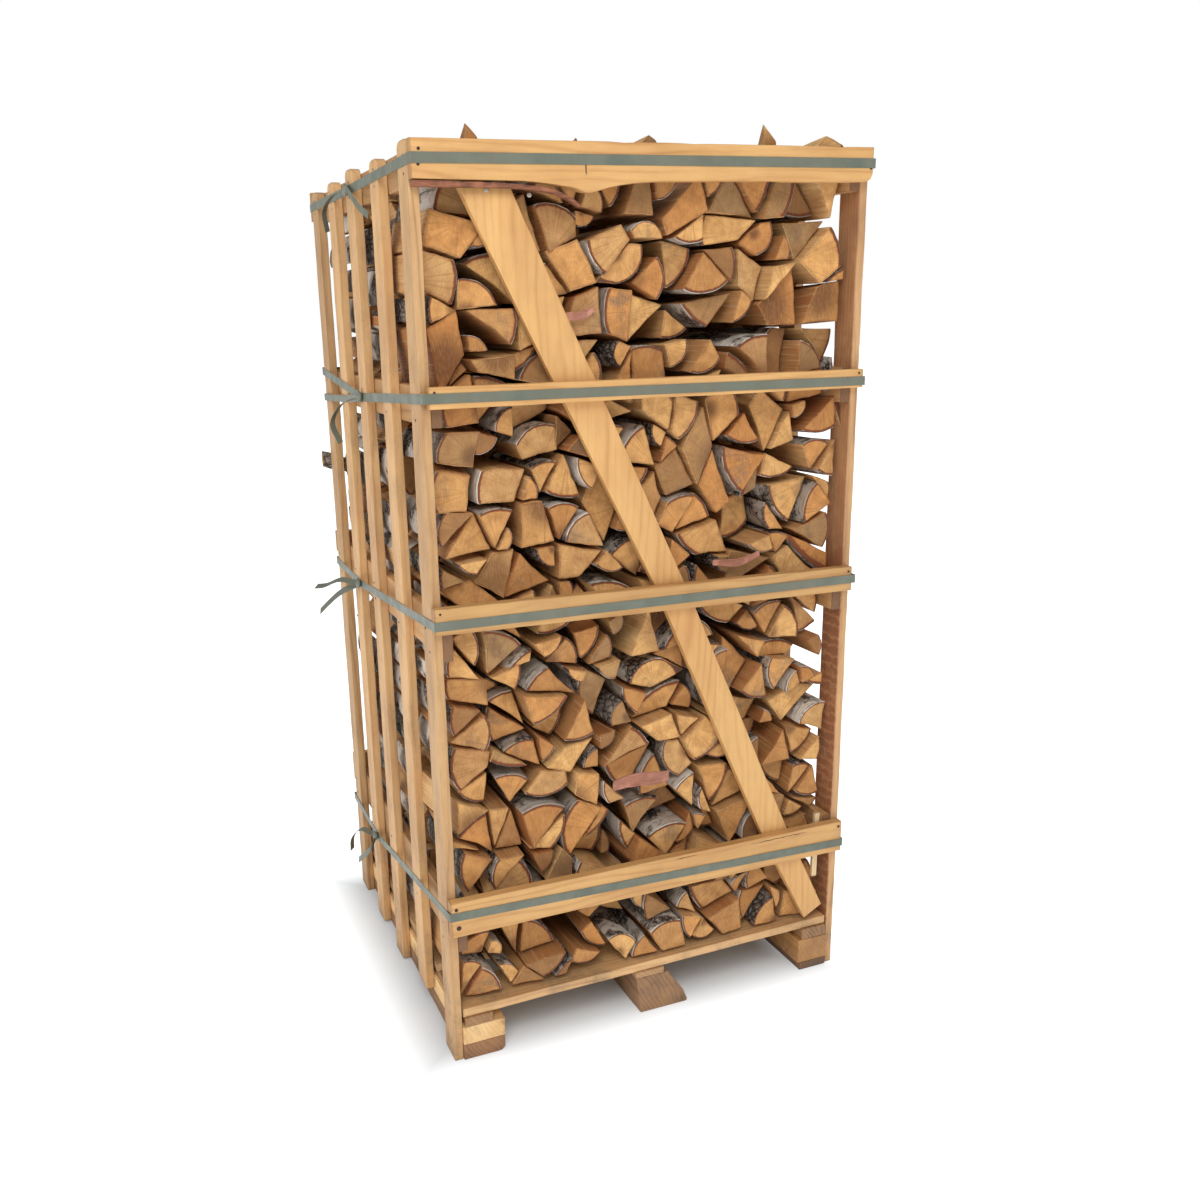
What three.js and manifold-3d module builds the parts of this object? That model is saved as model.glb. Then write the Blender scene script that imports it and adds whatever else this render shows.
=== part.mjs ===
// Slatted pallet crate of split birch firewood, strapped at four levels.
// Millimetres, +Z up, front face towards -Y. Sizes are given from the crate's corner: the outer
// left front bottom corner of its posts. The finished group is then centred over the origin.
import * as THREE from 'three';
import Module from 'manifold-3d';
import { mergeVertices } from 'three/addons/utils/BufferGeometryUtils.js';

const wasm = await Module();
wasm.setup();

// Driving dimensions
const WIDTH = 1000;
const DEPTH = 925;
const GAP = 0.3; // clearance kept between pieces that touch
const EDGE = 1.2; // chamfer on sawn edges

const SLAT = { thick: 20.5, deep: 68, topRound: 20 };
const SLAT_FRONTS = [0, 226, 453, 656, DEPTH - SLAT.deep];
const SLAT_TOPS = [1915, 1909, 1916, 1910, 1908];
const SLAT_FEET = [0, 48, 4, 6, 0];

const RAIL_THICK = 22;
const RAILS = {
  top: { left: [1841, 1905], right: [1841, 1905] },
  upper: { left: [1399, 1473], right: [1404, 1478] },
  lower: { left: [930, 1018], right: [930, 1018] },
  bottom: { left: [268, 356], right: [322, 410] },
};

const BOARD_THICK = 22;
// left x, right x, then bottom and top heights at the left end and at the right end
const BOARDS = {
  upper: { from: 11, to: 996, left: [1436, 1477], right: [1436, 1475] },
  lower: { from: 0, to: 992, left: [993, 1048], right: [978, 1033] },
  bottom: { from: 2, to: 997, left: [319, 400], right: [320, 397] },
};
const TOP_BOARD = { from: 0, to: 996, left: [1844, 1912], right: [1857, 1925] };

const BRACE_THICK = 19;
const BRACE_OUTLINE = [
  [915, 141], [964, 168], [862, 381], [597, 979], [363, 1476], [194, 1838],
  [93, 1838], [149, 1724], [277, 1473], [503, 1030], [788, 389],
];

const DECK = { thick: 20, leftTop: 124, rightTop: 134, boards: 5, boardDeep: 118 };
const RUNNER_LENGTH = DEPTH + 6;

const LOG_LENGTH = 290;
const LOG_PITCH = 294;
const LOG_ROWS = ['front', 'middle', 'back'];
const PILE = { top: 1895, hump: 22, humps: 9 };

const STRAP = { tall: 19, thick: 0.9, off: 0.5 };
// strap heights: at the front left, front right, back right and back left corners, and at the
// knot, with the knot's distance from the front
const STRAPS = {
  top: { corners: [1879, 1894, 1890, 1876], knot: [495, 1875] },
  upper: { corners: [1456, 1450, 1452, 1474], knot: [494, 1432] },
  lower: { corners: [1012, 1005, 990, 966], knot: [652, 962] },
  bottom: { corners: [368, 342, 300, 264], knot: [662, 262] },
};

const LOOKS = {
  pine: { color: 0xdcae72, roughness: 0.75 },
  palePine: { color: 0xe6c48d, roughness: 0.75 },
  brownPine: { color: 0x9c6a3c, roughness: 0.85 },
  birch: { color: 0xc08f58, roughness: 0.8 },
  bark: { color: 0x9a5f45, roughness: 0.9 },
  strap: { color: 0x6f8375, roughness: 0.45 },
};

const crate = new THREE.Group();

function finish(name) {
  return new THREE.MeshStandardMaterial({ ...LOOKS[name], metalness: 0 });
}

function add(name, geometry, look) {
  const mesh = new THREE.Mesh(geometry, finish(look));
  mesh.name = name;
  crate.add(mesh);
  return mesh;
}

function shapeOf(points) {
  return new THREE.Shape(points.map(([a, b]) => new THREE.Vector2(a, b)));
}

function extrude(shape, depth, bevel) {
  const geometry = new THREE.ExtrudeGeometry(shape, {
    depth: depth - 2 * bevel,
    bevelEnabled: bevel > 0,
    bevelThickness: bevel,
    bevelSize: bevel,
    bevelOffset: -bevel,
    bevelSegments: 1,
    curveSegments: 5,
  });
  return geometry.translate(0, 0, bevel);
}

// An outline in X and Z, made thick along Y from yFrom.
function alongY(shape, yFrom, deep, bevel = EDGE) {
  const geometry = extrude(shape, deep, bevel);
  return geometry.rotateX(Math.PI / 2).translate(0, yFrom + deep, 0);
}

// An outline in Y and Z, made thick along X from xFrom.
function alongX(shape, xFrom, thick, bevel = EDGE) {
  const turn = new THREE.Matrix4().makeBasis(
    new THREE.Vector3(0, 1, 0),
    new THREE.Vector3(0, 0, 1),
    new THREE.Vector3(1, 0, 0),
  );
  return extrude(shape, thick, bevel).applyMatrix4(turn).translate(xFrom, 0, 0);
}

// Upright slats: five on each side, the first and last being the corner posts.
function slatShape(front, foot, top) {
  const round = SLAT.topRound;
  const back = front + SLAT.deep;
  const shape = new THREE.Shape();
  shape.moveTo(front, foot);
  shape.lineTo(back, foot);
  shape.lineTo(back, top - round);
  shape.quadraticCurveTo(back, top, back - round, top);
  shape.lineTo(front + round, top);
  shape.quadraticCurveTo(front, top, front, top - round);
  shape.closePath();
  return shape;
}

function addSlats() {
  for (const side of ['left', 'right']) {
    const x = side === 'left' ? 0 : WIDTH - SLAT.thick;
    SLAT_FRONTS.forEach((front, index) => {
      const isPost = index === 0 || index === SLAT_FRONTS.length - 1;
      const place = index === 0 ? 'front' : 'back';
      const name = isPost ? `${side}_${place}_corner_post` : `${side}_slat_${index}`;
      const shape = slatShape(front, SLAT_FEET[index], SLAT_TOPS[index]);
      add(name, alongX(shape, x, SLAT.thick), 'pine');
    });
  }
}

// Side rails: front to back inside the slats, at the height of each strap.
function addRails() {
  for (const [level, heights] of Object.entries(RAILS)) {
    for (const side of ['left', 'right']) {
      const [low, high] = heights[side];
      const inner = SLAT.thick + GAP;
      const x = side === 'left' ? inner : WIDTH - inner - RAIL_THICK;
      const shape = shapeOf([[1, low], [DEPTH - 1, low], [DEPTH - 1, high], [1, high]]);
      add(`${side}_${level}_rail`, alongX(shape, x, RAIL_THICK), 'pine');
    }
  }
}

// The top front board has a waney lower edge with one bulge.
function topBoardShape() {
  const { from, to, left, right } = TOP_BOARD;
  const shape = new THREE.Shape();
  shape.moveTo(from, left[0]);
  shape.lineTo(from + 210, left[0]);
  shape.quadraticCurveTo(from + 300, left[0] - 4, from + 330, left[0] - 16);
  shape.quadraticCurveTo(from + 350, left[0] - 22, from + 385, left[0] - 9);
  shape.quadraticCurveTo(from + 440, left[0] + 4, from + 520, left[0] + 6);
  shape.lineTo(to - 22, right[0]);
  shape.quadraticCurveTo(to, right[0], to, right[0] + 24);
  shape.lineTo(to, right[1]);
  shape.lineTo(from, left[1]);
  shape.closePath();
  return shape;
}

function levelBoardShape({ from, to, left, right }) {
  return shapeOf([[from, left[0]], [to, right[0]], [to, right[1]], [from, left[1]]]);
}

function addBoards() {
  const faces = {
    front: -GAP - BOARD_THICK,
    back: DEPTH + GAP,
  };
  for (const [face, y] of Object.entries(faces)) {
    const topShape = face === 'front' ? topBoardShape() : levelBoardShape(TOP_BOARD);
    add(`${face}_top_board`, alongY(topShape, y, BOARD_THICK), 'palePine');
    for (const [level, sizes] of Object.entries(BOARDS)) {
      add(`${face}_${level}_board`, alongY(levelBoardShape(sizes), y, BOARD_THICK), 'palePine');
    }
  }
}

// One diagonal brace behind the boards of each open face.
function addBraces() {
  const shape = shapeOf(BRACE_OUTLINE);
  add('front_diagonal_brace', alongY(shape, 0, BRACE_THICK), 'palePine');
  const backShape = shapeOf(BRACE_OUTLINE.map(([x, z]) => [WIDTH - x, z]).reverse());
  add('back_diagonal_brace', alongY(backShape, DEPTH - BRACE_THICK, BRACE_THICK), 'palePine');
}

// Strip of bark peeling off the lower edge of the top front board.
function addBarkStrip() {
  const upper = new THREE.SplineCurve([
    new THREE.Vector2(2, 1842), new THREE.Vector2(90, 1841), new THREE.Vector2(180, 1840),
    new THREE.Vector2(262, 1833), new THREE.Vector2(306, 1819), new THREE.Vector2(332, 1803),
  ]).getPoints(20);
  const thickAt = (share) => 11 - 7 * share;
  const lower = upper.map((point, index) => {
    const share = index / (upper.length - 1);
    return new THREE.Vector2(point.x - 3 * share, point.y - thickAt(share));
  });
  const shape = new THREE.Shape([...lower, ...upper.reverse()]);
  add('peeling_bark_strip', alongY(shape, -GAP - 20, 17, 0.8), 'bark');
}

// Deck: boards across the runners, one level strip per board, rising slightly to the right.
function deckHeight(x) {
  return DECK.leftTop + ((DECK.rightTop - DECK.leftTop) * x) / WIDTH;
}

function addDeck() {
  const from = SLAT.thick + 3;
  const to = WIDTH - from;
  const shape = shapeOf([
    [from, deckHeight(from) - DECK.thick], [to, deckHeight(to) - DECK.thick],
    [to, deckHeight(to)], [from, deckHeight(from)],
  ]);
  const pitch = (DEPTH - DECK.boardDeep) / (DECK.boards - 1);
  for (let index = 0; index < DECK.boards; index += 1) {
    const name = `deck_board_${index + 1}`;
    add(name, alongY(shape, index * pitch, DECK.boardDeep), 'pine');
  }
}

// Three runners from front to back, each a stack of timbers under the deck.
function runnerShape(points, corner = 0) {
  const shape = new THREE.Shape();
  const [first, second, ...rest] = points;
  shape.moveTo(...first);
  shape.lineTo(second[0] - corner, second[1]);
  if (corner > 0) {
    shape.quadraticCurveTo(second[0], second[1], second[0], second[1] + corner);
  }
  rest.forEach((point) => shape.lineTo(...point));
  shape.closePath();
  return shape;
}

function addRunners() {
  const underDeck = (x) => deckHeight(x) - DECK.thick - GAP;
  const inner = SLAT.thick + GAP;
  const block = (a, b, low, highA, highB = highA) => [[a, low], [b, low], [b, highB], [a, highA]];
  const timbers = {
    left_runner_spacer: [runnerShape(block(27, 91, 82, underDeck(27))), 'pine'],
    left_runner_beam: [runnerShape(block(inner, 119, 38, 82 - GAP)), 'palePine'],
    left_runner_skid: [runnerShape(block(inner, 118, 0, 38 - GAP), 16), 'brownPine'],
    middle_runner_spacer: [runnerShape(block(447, 520, 94, underDeck(447))), 'pine'],
    middle_runner_beam: [
      runnerShape([[459, 0], [583, 0], [572, 34], [531, 94 - GAP], [447, 94 - GAP]], 6),
      'brownPine',
    ],
    right_runner_spacer: [runnerShape(block(906, 976, 84, underDeck(906))), 'pine'],
    right_runner_beam: [runnerShape(block(897, WIDTH - inner, 21, 84 - GAP)), 'palePine'],
    right_runner_skid: [runnerShape(block(903, WIDTH - inner, 0, 21 - GAP), 7), 'brownPine'],
  };
  for (const [name, [shape, look]] of Object.entries(timbers)) {
    add(name, alongY(shape, -6, RUNNER_LENGTH), look);
  }
}

// The stacked logs: one plain closed solid for each row of logs, out to the log tips.
function pileShape(spikes) {
  const clear = 2;
  const railInner = SLAT.thick + RAIL_THICK + clear;
  const bayInner = SLAT.thick + clear;
  const bottom = deckHeight(WIDTH) + GAP;
  const rightSide = [[WIDTH - bayInner, bottom]];
  const leftSide = [[bayInner, bottom]];
  const levels = [RAILS.bottom, RAILS.lower, RAILS.upper, RAILS.top];
  for (const level of levels) {
    for (const [side, list] of [[level.left, leftSide], [level.right, rightSide]]) {
      const at = (inset) => (list === leftSide ? inset : WIDTH - inset);
      list.push([at(bayInner), side[0] - clear], [at(railInner), side[0] - clear]);
      if (level !== RAILS.top) {
        list.push([at(railInner), side[1] + clear], [at(bayInner), side[1] + clear]);
      }
    }
  }
  const top = [];
  const span = WIDTH - 2 * railInner;
  for (let index = 0; index <= PILE.humps * 2; index += 1) {
    const share = index / (PILE.humps * 2);
    const rise = index % 2 === 0 ? 0 : PILE.hump;
    top.push([WIDTH - railInner - share * span, PILE.top + rise]);
  }
  spikes.forEach(([x, height, halfWidth]) => {
    const kept = top.filter(([at]) => Math.abs(at - x) > halfWidth);
    kept.push([x + halfWidth, PILE.top + PILE.hump], [x, height], [x - halfWidth, PILE.top + PILE.hump]);
    kept.sort((a, b) => b[0] - a[0]);
    top.splice(0, top.length, ...kept);
  });
  return shapeOf([...rightSide, ...top, ...leftSide.reverse()]);
}

function addLogs() {
  const spikes = {
    front: [[763, 1976, 26], [512, 1944, 30], [905, 1948, 50], [340, 1934, 18], [116, 1944, 20]],
    middle: [[620, 1948, 40]],
    back: [[300, 1940, 40]],
  };
  LOG_ROWS.forEach((row, index) => {
    const y = BRACE_THICK + 3 + index * LOG_PITCH;
    add(`log_row_${row}`, alongY(pileShape(spikes[row]), y, LOG_LENGTH, 0), 'birch');
  });
}

function addLooseStick() {
  const stick = new THREE.BoxGeometry(13, 9, 170).rotateY(0.02);
  add('loose_stick', stick.translate(942, 8, 334), 'palePine');
}

// A flat band along a path: across is the unit vector over its width at each path point.
function ribbon(path, across, tall, thick, closed) {
  const positions = [];
  const count = path.length;
  path.forEach((point, index) => {
    const before = path[closed ? (index + count - 1) % count : Math.max(index - 1, 0)];
    const after = path[closed ? (index + 1) % count : Math.min(index + 1, count - 1)];
    const along = after.clone().sub(before).normalize();
    const out = along.clone().cross(across[index]).normalize();
    for (const [side, level] of [[0, -0.5], [1, -0.5], [1, 0.5], [0, 0.5]]) {
      const corner = point.clone();
      corner.addScaledVector(across[index], level * tall);
      corner.addScaledVector(out, side * thick);
      positions.push(corner.x, corner.y, corner.z);
    }
  });
  const faces = [];
  const spans = closed ? count : count - 1;
  for (let index = 0; index < spans; index += 1) {
    const here = index * 4;
    const next = ((index + 1) % count) * 4;
    for (let side = 0; side < 4; side += 1) {
      const other = (side + 1) % 4;
      faces.push(here + side, next + side, next + other);
      faces.push(here + side, next + other, here + other);
    }
  }
  if (!closed) {
    const last = (count - 1) * 4;
    faces.push(0, 1, 2, 0, 2, 3);
    faces.push(last, last + 2, last + 1, last, last + 3, last + 2);
  }
  const geometry = new THREE.BufferGeometry();
  geometry.setAttribute('position', new THREE.Float32BufferAttribute(positions, 3));
  geometry.setIndex(faces);
  return geometry;
}

function solidOf(geometry) {
  const bare = geometry.clone();
  bare.deleteAttribute('normal');
  bare.deleteAttribute('uv');
  const merged = mergeVertices(bare, 1e-4);
  return new wasm.Manifold(new wasm.Mesh({
    numProp: 3,
    vertProperties: Float32Array.from(merged.attributes.position.array),
    triVerts: Uint32Array.from(merged.index.array),
  }));
}

function geometryOf(solid) {
  const { vertProperties, triVerts } = solid.getMesh();
  const geometry = new THREE.BufferGeometry();
  geometry.setAttribute('position', new THREE.BufferAttribute(vertProperties, 3));
  geometry.setIndex(new THREE.BufferAttribute(triVerts, 1));
  return geometry;
}

// A strap's closed ring: round both open faces and both sides, with small corner bends.
function ringPath({ corners, knot }) {
  const side = STRAP.off;
  const face = BOARD_THICK + GAP + STRAP.off;
  const turn = 1.2;
  const places = [
    [-side, -face], [WIDTH + side, -face], [WIDTH + side, DEPTH + face], [-side, DEPTH + face],
  ];
  const path = [];
  places.forEach(([x, y], index) => {
    const inX = x < 0 ? 1 : -1;
    const inY = y < 0 ? 1 : -1;
    const z = corners[index];
    const bend = [[0, inY * turn], [inX * turn * 0.3, inY * turn * 0.3], [inX * turn, 0]];
    const ordered = index % 2 === 0 ? bend : bend.reverse();
    ordered.forEach(([dx, dy]) => path.push(new THREE.Vector3(x + dx, y + dy, z)));
  });
  path.push(new THREE.Vector3(-side, knot[0] + 14, knot[1]));
  path.push(new THREE.Vector3(-side, knot[0] - 14, knot[1]));
  return path;
}

function tailRibbon(points, widthAcross) {
  const curve = new THREE.CatmullRomCurve3(points.map((point) => new THREE.Vector3(...point)));
  const path = curve.getPoints(points.length * 4);
  const across = path.map(() => new THREE.Vector3(...widthAcross).normalize());
  return ribbon(path, across, STRAP.tall * 0.86, STRAP.thick, false);
}

// Loose ends beside each knot: the points they pass, then the direction across their width.
const TAILS = {
  top: [
    [[[-9, 500, 1876], [-24, 560, 1868], [-36, 598, 1840], [-30, 606, 1796]], [0.75, 0.6, 0.25]],
    [[[-6, 488, 1880], [-9, 440, 1862], [-8, 370, 1830], [-4, 306, 1808]], [0.1, 0.35, 0.93]],
  ],
  upper: [
    [[[-9, 500, 1430], [-36, 556, 1414], [-56, 580, 1372], [-52, 520, 1328]], [0.8, 0.5, 0.3]],
    [
      [
        [-8, 498, 1430], [-4, 640, 1420], [-3, 800, 1412], [-3, 935, 1407],
        [3, 951, 1407], [120, 951, 1410], [300, 951, 1416],
      ],
      [0, 0.04, 1],
    ],
  ],
  lower: [
    [[[-9, 656, 962], [-44, 690, 968], [-78, 722, 950], [-98, 740, 946]], [0.7, 0.35, 0.62]],
    [[[-8, 660, 958], [-40, 720, 928], [-66, 770, 890], [-84, 790, 866]], [0.2, 0.45, 0.85]],
  ],
  bottom: [
    [[[-9, 666, 264], [-34, 720, 262], [-52, 752, 226], [-54, 762, 186]], [0.75, 0.6, 0.25]],
    [[[-8, 658, 258], [-26, 640, 240], [-36, 672, 208], [-46, 720, 172]], [0.15, 0.35, 0.92]],
  ],
};

function knotSolid([y, z]) {
  const lump = new THREE.SphereGeometry(1, 14, 9).scale(7, 17, 12).rotateX(-0.35);
  const wrap = new THREE.TorusGeometry(11, 3.4, 6, 14).rotateY(Math.PI / 2).scale(0.9, 0.8, 1);
  const first = solidOf(lump.translate(-7.6, y, z));
  return first.add(solidOf(wrap.rotateX(0.5).translate(-8.2, y - 1, z + 1)));
}

function addStraps() {
  const up = new THREE.Vector3(0, 0, 1);
  for (const [level, strap] of Object.entries(STRAPS)) {
    const path = ringPath(strap);
    const ring = ribbon(path, path.map(() => up), STRAP.tall, STRAP.thick, true);
    let solid = solidOf(ring).add(knotSolid(strap.knot));
    TAILS[level].forEach(([points, across]) => {
      solid = solid.add(solidOf(tailRibbon(points, across)));
    });
    add(`${level}_strap`, geometryOf(solid), 'strap');
  }
}

addSlats();
addRails();
addBoards();
addBraces();
addBarkStrip();
addDeck();
addRunners();
addLogs();
addLooseStick();
addStraps();

const box = new THREE.Box3().setFromObject(crate);
const middle = box.getCenter(new THREE.Vector3());
crate.position.set(-middle.x, -middle.y, -box.min.z);

export default crate;
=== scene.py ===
"""A strapped, slatted pallet crate of split birch firewood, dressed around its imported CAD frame.

Every length is in metres. Places are given from the crate's corner, the outer left front bottom
corner of its posts, with +X to the right, +Y to the back and +Z up.
"""

import logging
import math
import random
from collections.abc import Iterable, Sequence
from dataclasses import dataclass, field
from enum import Enum

import bmesh
import bpy
from mathutils import Matrix, Vector, noise
from mathutils.geometry import delaunay_2d_cdt


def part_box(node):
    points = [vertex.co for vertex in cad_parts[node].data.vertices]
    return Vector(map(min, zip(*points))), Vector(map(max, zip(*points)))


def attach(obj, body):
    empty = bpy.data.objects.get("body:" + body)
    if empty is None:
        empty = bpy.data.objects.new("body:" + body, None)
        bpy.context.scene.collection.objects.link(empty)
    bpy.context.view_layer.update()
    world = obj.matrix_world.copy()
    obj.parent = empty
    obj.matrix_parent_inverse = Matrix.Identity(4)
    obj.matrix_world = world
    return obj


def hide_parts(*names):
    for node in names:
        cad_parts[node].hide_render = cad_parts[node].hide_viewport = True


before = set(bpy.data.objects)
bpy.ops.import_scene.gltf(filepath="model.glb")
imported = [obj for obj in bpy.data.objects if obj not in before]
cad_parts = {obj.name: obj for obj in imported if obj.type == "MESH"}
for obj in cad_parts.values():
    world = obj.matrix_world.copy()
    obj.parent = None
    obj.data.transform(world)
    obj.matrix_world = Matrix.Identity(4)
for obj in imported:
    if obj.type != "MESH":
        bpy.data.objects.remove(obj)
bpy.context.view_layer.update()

log = logging.getLogger("firewood_crate")

BODY = "root"
LEVELS = ("top", "upper", "lower", "bottom")
SIDES = ("left", "right")
Colour = tuple[float, float, float, float]
Socket = bpy.types.NodeSocket


class Along(Enum):
    """The way a timber's grain runs."""

    X = (0, 1, 2)
    Y = (1, 0, 2)
    Z = (2, 1, 0)


class Side(Enum):
    """What one side of a split log shows. The value is its material's place on the mesh."""

    END = 0
    SPLIT = 1
    BARK = 2


def srgb(red: int, green: int, blue: int) -> Colour:
    """A colour of 0 to 255 display values as the linear colour that shaders take."""
    return tuple([((c / 255 + 0.055) / 1.055) ** 2.4 for c in (red, green, blue)] + [1.0])


@dataclass(frozen=True)
class Crate:
    """The crate's main sizes, read from its CAD pieces."""

    corner: Vector
    width: float
    depth: float
    slat: float
    rail_inner: float
    deck: float
    top: float

    @classmethod
    def from_frame(cls) -> "Crate":
        """Measures the crate from its posts, rails and deck.

        Returns:
            The crate's sizes.
        """
        low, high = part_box("left_front_corner_post")
        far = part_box("right_back_corner_post")[1]
        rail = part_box("left_top_rail")[1]
        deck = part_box("deck_board_1")[1]
        return cls(
            corner=Vector((low.x, low.y, 0.0)),
            width=far.x - low.x,
            depth=far.y - low.y,
            slat=high.x - low.x,
            rail_inner=rail.x - low.x,
            deck=deck.z,
            top=high.z,
        )

    def at(self, x: float, y: float, z: float) -> Vector:
        """A point given from the crate's corner, in the frame's own coordinates."""
        return self.corner + Vector((x, y, z))

    def span(self, node: str) -> tuple[Vector, Vector]:
        """The lowest and highest corners of a CAD node, from the crate's corner."""
        low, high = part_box(node)
        return low - self.corner, high - self.corner


# Shader helpers


class ShaderTree:
    """Adds and links the nodes of one shader tree."""

    def __init__(self, tree: bpy.types.NodeTree) -> None:
        """Keeps the tree that the other methods add to."""
        self.tree = tree

    def node(self, kind: str, **settings: object) -> bpy.types.Node:
        """Adds one node and sets its properties.

        Args:
            kind: the node's type.
            settings: its properties, by name.

        Returns:
            The new node.
        """
        made = self.tree.nodes.new(kind)
        for name, value in settings.items():
            setattr(made, name, value)
        return made

    def feed(self, socket: Socket, value: object) -> None:
        """Links a socket into an input, or sets the input to a plain value.

        Args:
            socket: the input.
            value: what it takes: a socket, a number, a vector or a colour.
        """
        if isinstance(value, bpy.types.NodeSocket):
            self.tree.links.new(value, socket)
        else:
            socket.default_value = value

    def math(self, operation: str, *values: object, clamp: bool = False) -> Socket:
        """A Math node of up to three values.

        Args:
            operation: what it works out.
            values: its inputs, as sockets or numbers.
            clamp: whether the result stays between 0 and 1.

        Returns:
            The result's socket.
        """
        made = self.node("ShaderNodeMath", operation=operation, use_clamp=clamp)
        for socket, value in zip(made.inputs, values):
            self.feed(socket, value)
        return made.outputs[0]

    def vector(self, operation: str, *values: object, scale: object = None) -> Socket:
        """A Vector Math node's main output.

        Args:
            operation: what it works out.
            values: its vectors.
            scale: its scale, for the operation that has one.

        Returns:
            The result's socket.
        """
        made = self.node("ShaderNodeVectorMath", operation=operation)
        for socket, value in zip(made.inputs, values):
            self.feed(socket, value)
        if scale is not None:
            self.feed(made.inputs["Scale"], scale)
        return made.outputs["Value" if operation == "LENGTH" else "Vector"]

    def stretch(self, vector: Socket, factors: Sequence[float]) -> Socket:
        """The vector with each axis multiplied by its own factor."""
        return self.vector("MULTIPLY", vector, tuple(factors))

    def noise(self, vector: Socket, scale: float, detail: float = 3.0,
              rough: float = 0.5) -> Socket:
        """A Noise Texture's value.

        Args:
            vector: where it is read.
            scale: how fine it is.
            detail: how many finer layers it has.
            rough: how strong those layers are.

        Returns:
            The value's socket.
        """
        made = self.node("ShaderNodeTexNoise")
        self.feed(made.inputs["Vector"], vector)
        made.inputs["Scale"].default_value = scale
        made.inputs["Detail"].default_value = detail
        made.inputs["Roughness"].default_value = rough
        return made.outputs[0]

    def cells(self, vector: Socket, scale: float, feature: str = "F1") -> Socket:
        """A Voronoi Texture's distance.

        Args:
            vector: where it is read.
            scale: how fine it is.
            feature: which distance it gives.

        Returns:
            The distance's socket.
        """
        made = self.node("ShaderNodeTexVoronoi", feature=feature)
        self.feed(made.inputs["Vector"], vector)
        made.inputs["Scale"].default_value = scale
        return made.outputs["Distance"]

    def remap(self, value: object, low: float, high: float, to_low: float = 0.0,
              to_high: float = 1.0, smooth: bool = False) -> Socket:
        """A Map Range node, clamped at both ends.

        Args:
            value: what is mapped.
            low: the value that gives to_low.
            high: the value that gives to_high.
            to_low: the result at the low end.
            to_high: the result at the high end.
            smooth: whether it eases in and out.

        Returns:
            The result's socket.
        """
        made = self.node("ShaderNodeMapRange", clamp=True)
        if smooth:
            made.interpolation_type = "SMOOTHSTEP"
        for socket, number in zip(made.inputs, (value, low, high, to_low, to_high)):
            self.feed(socket, number)
        return made.outputs[0]

    def mix(self, factor: object, first: object, second: object) -> Socket:
        """A colour Mix node.

        Args:
            factor: how much of the second colour shows.
            first: the first colour.
            second: the second colour.

        Returns:
            The mixed colour's socket.
        """
        made = self.node("ShaderNodeMix", data_type="RGBA")
        self.feed(made.inputs["Factor"], factor)
        self.feed(made.inputs["A"], first)
        self.feed(made.inputs["B"], second)
        return made.outputs["Result"]

    def tint(self, base: Socket, mask: Socket, strength: float,
             colour: tuple[int, int, int]) -> Socket:
        """Lays a colour of 0 to 255 display values over the base, through a mask."""
        return self.mix(self.math("MULTIPLY", mask, strength), base, srgb(*colour))

    def stain(self, base: Socket, value: Socket, between: tuple[float, float], strength: float,
              colour: tuple[int, int, int]) -> Socket:
        """Lays a colour over the base where a value is high, fading in between two levels."""
        return self.mix(self.remap(value, *between, 0.0, strength), base, srgb(*colour))

    def streaks(self, vector: Socket, factors: Sequence[float], detail: float,
                rough: float = 0.5) -> Socket:
        """Noise drawn out along the axes, by how often it changes each metre."""
        return self.noise(self.stretch(vector, factors), 1.0, detail, rough)

    def split(self, vector: Socket) -> list[Socket]:
        """The X, Y and Z of a vector.

        Args:
            vector: the vector.

        Returns:
            The three values' sockets.
        """
        made = self.node("ShaderNodeSeparateXYZ")
        self.feed(made.inputs[0], vector)
        return list(made.outputs)

    def join(self, x: object, y: object, z: object) -> Socket:
        """A vector from three values.

        Args:
            x: the first value.
            y: the second value.
            z: the third value.

        Returns:
            The vector's socket.
        """
        made = self.node("ShaderNodeCombineXYZ")
        for socket, value in zip(made.inputs, (x, y, z)):
            self.feed(socket, value)
        return made.outputs[0]

    def attribute(self, name: str) -> bpy.types.Node:
        """An Attribute node that reads one of the mesh's own attributes."""
        return self.node("ShaderNodeAttribute", attribute_name=name)

    def log_place(self, spread: float) -> tuple[Socket, Socket, list[Socket]]:
        """Reads where a log's surface is, and the three random numbers of its log.

        Args:
            spread: how far apart the logs' patterns start, so that no two look alike.

        Returns:
            The place moved by the log's own numbers, how far it moved, and the three numbers.
        """
        own = self.attribute("tone").outputs["Vector"]
        offset = self.vector("SCALE", own, scale=spread)
        place = self.attribute("place").outputs["Vector"]
        return self.vector("ADD", place, offset), offset, self.split(own)

    def bump(self, height: Socket, strength: float, distance: float) -> Socket:
        """A Bump node's normal.

        Args:
            height: the relief.
            strength: how much of it shows.
            distance: how high the relief stands.

        Returns:
            The normal's socket.
        """
        made = self.node("ShaderNodeBump")
        made.inputs["Strength"].default_value = strength
        made.inputs["Distance"].default_value = distance
        self.feed(made.inputs["Height"], height)
        return made.outputs[0]

    def effect(self, group: bpy.types.NodeTree, **values: object) -> bpy.types.Node:
        """A shared effect's group node, with its named inputs fed.

        Args:
            group: the effect.
            values: what its inputs take, by name.

        Returns:
            The group's node.
        """
        made = self.node("ShaderNodeGroup", node_tree=group)
        for name, value in values.items():
            self.feed(made.inputs[name.replace("_", " ")], value)
        return made


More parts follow.
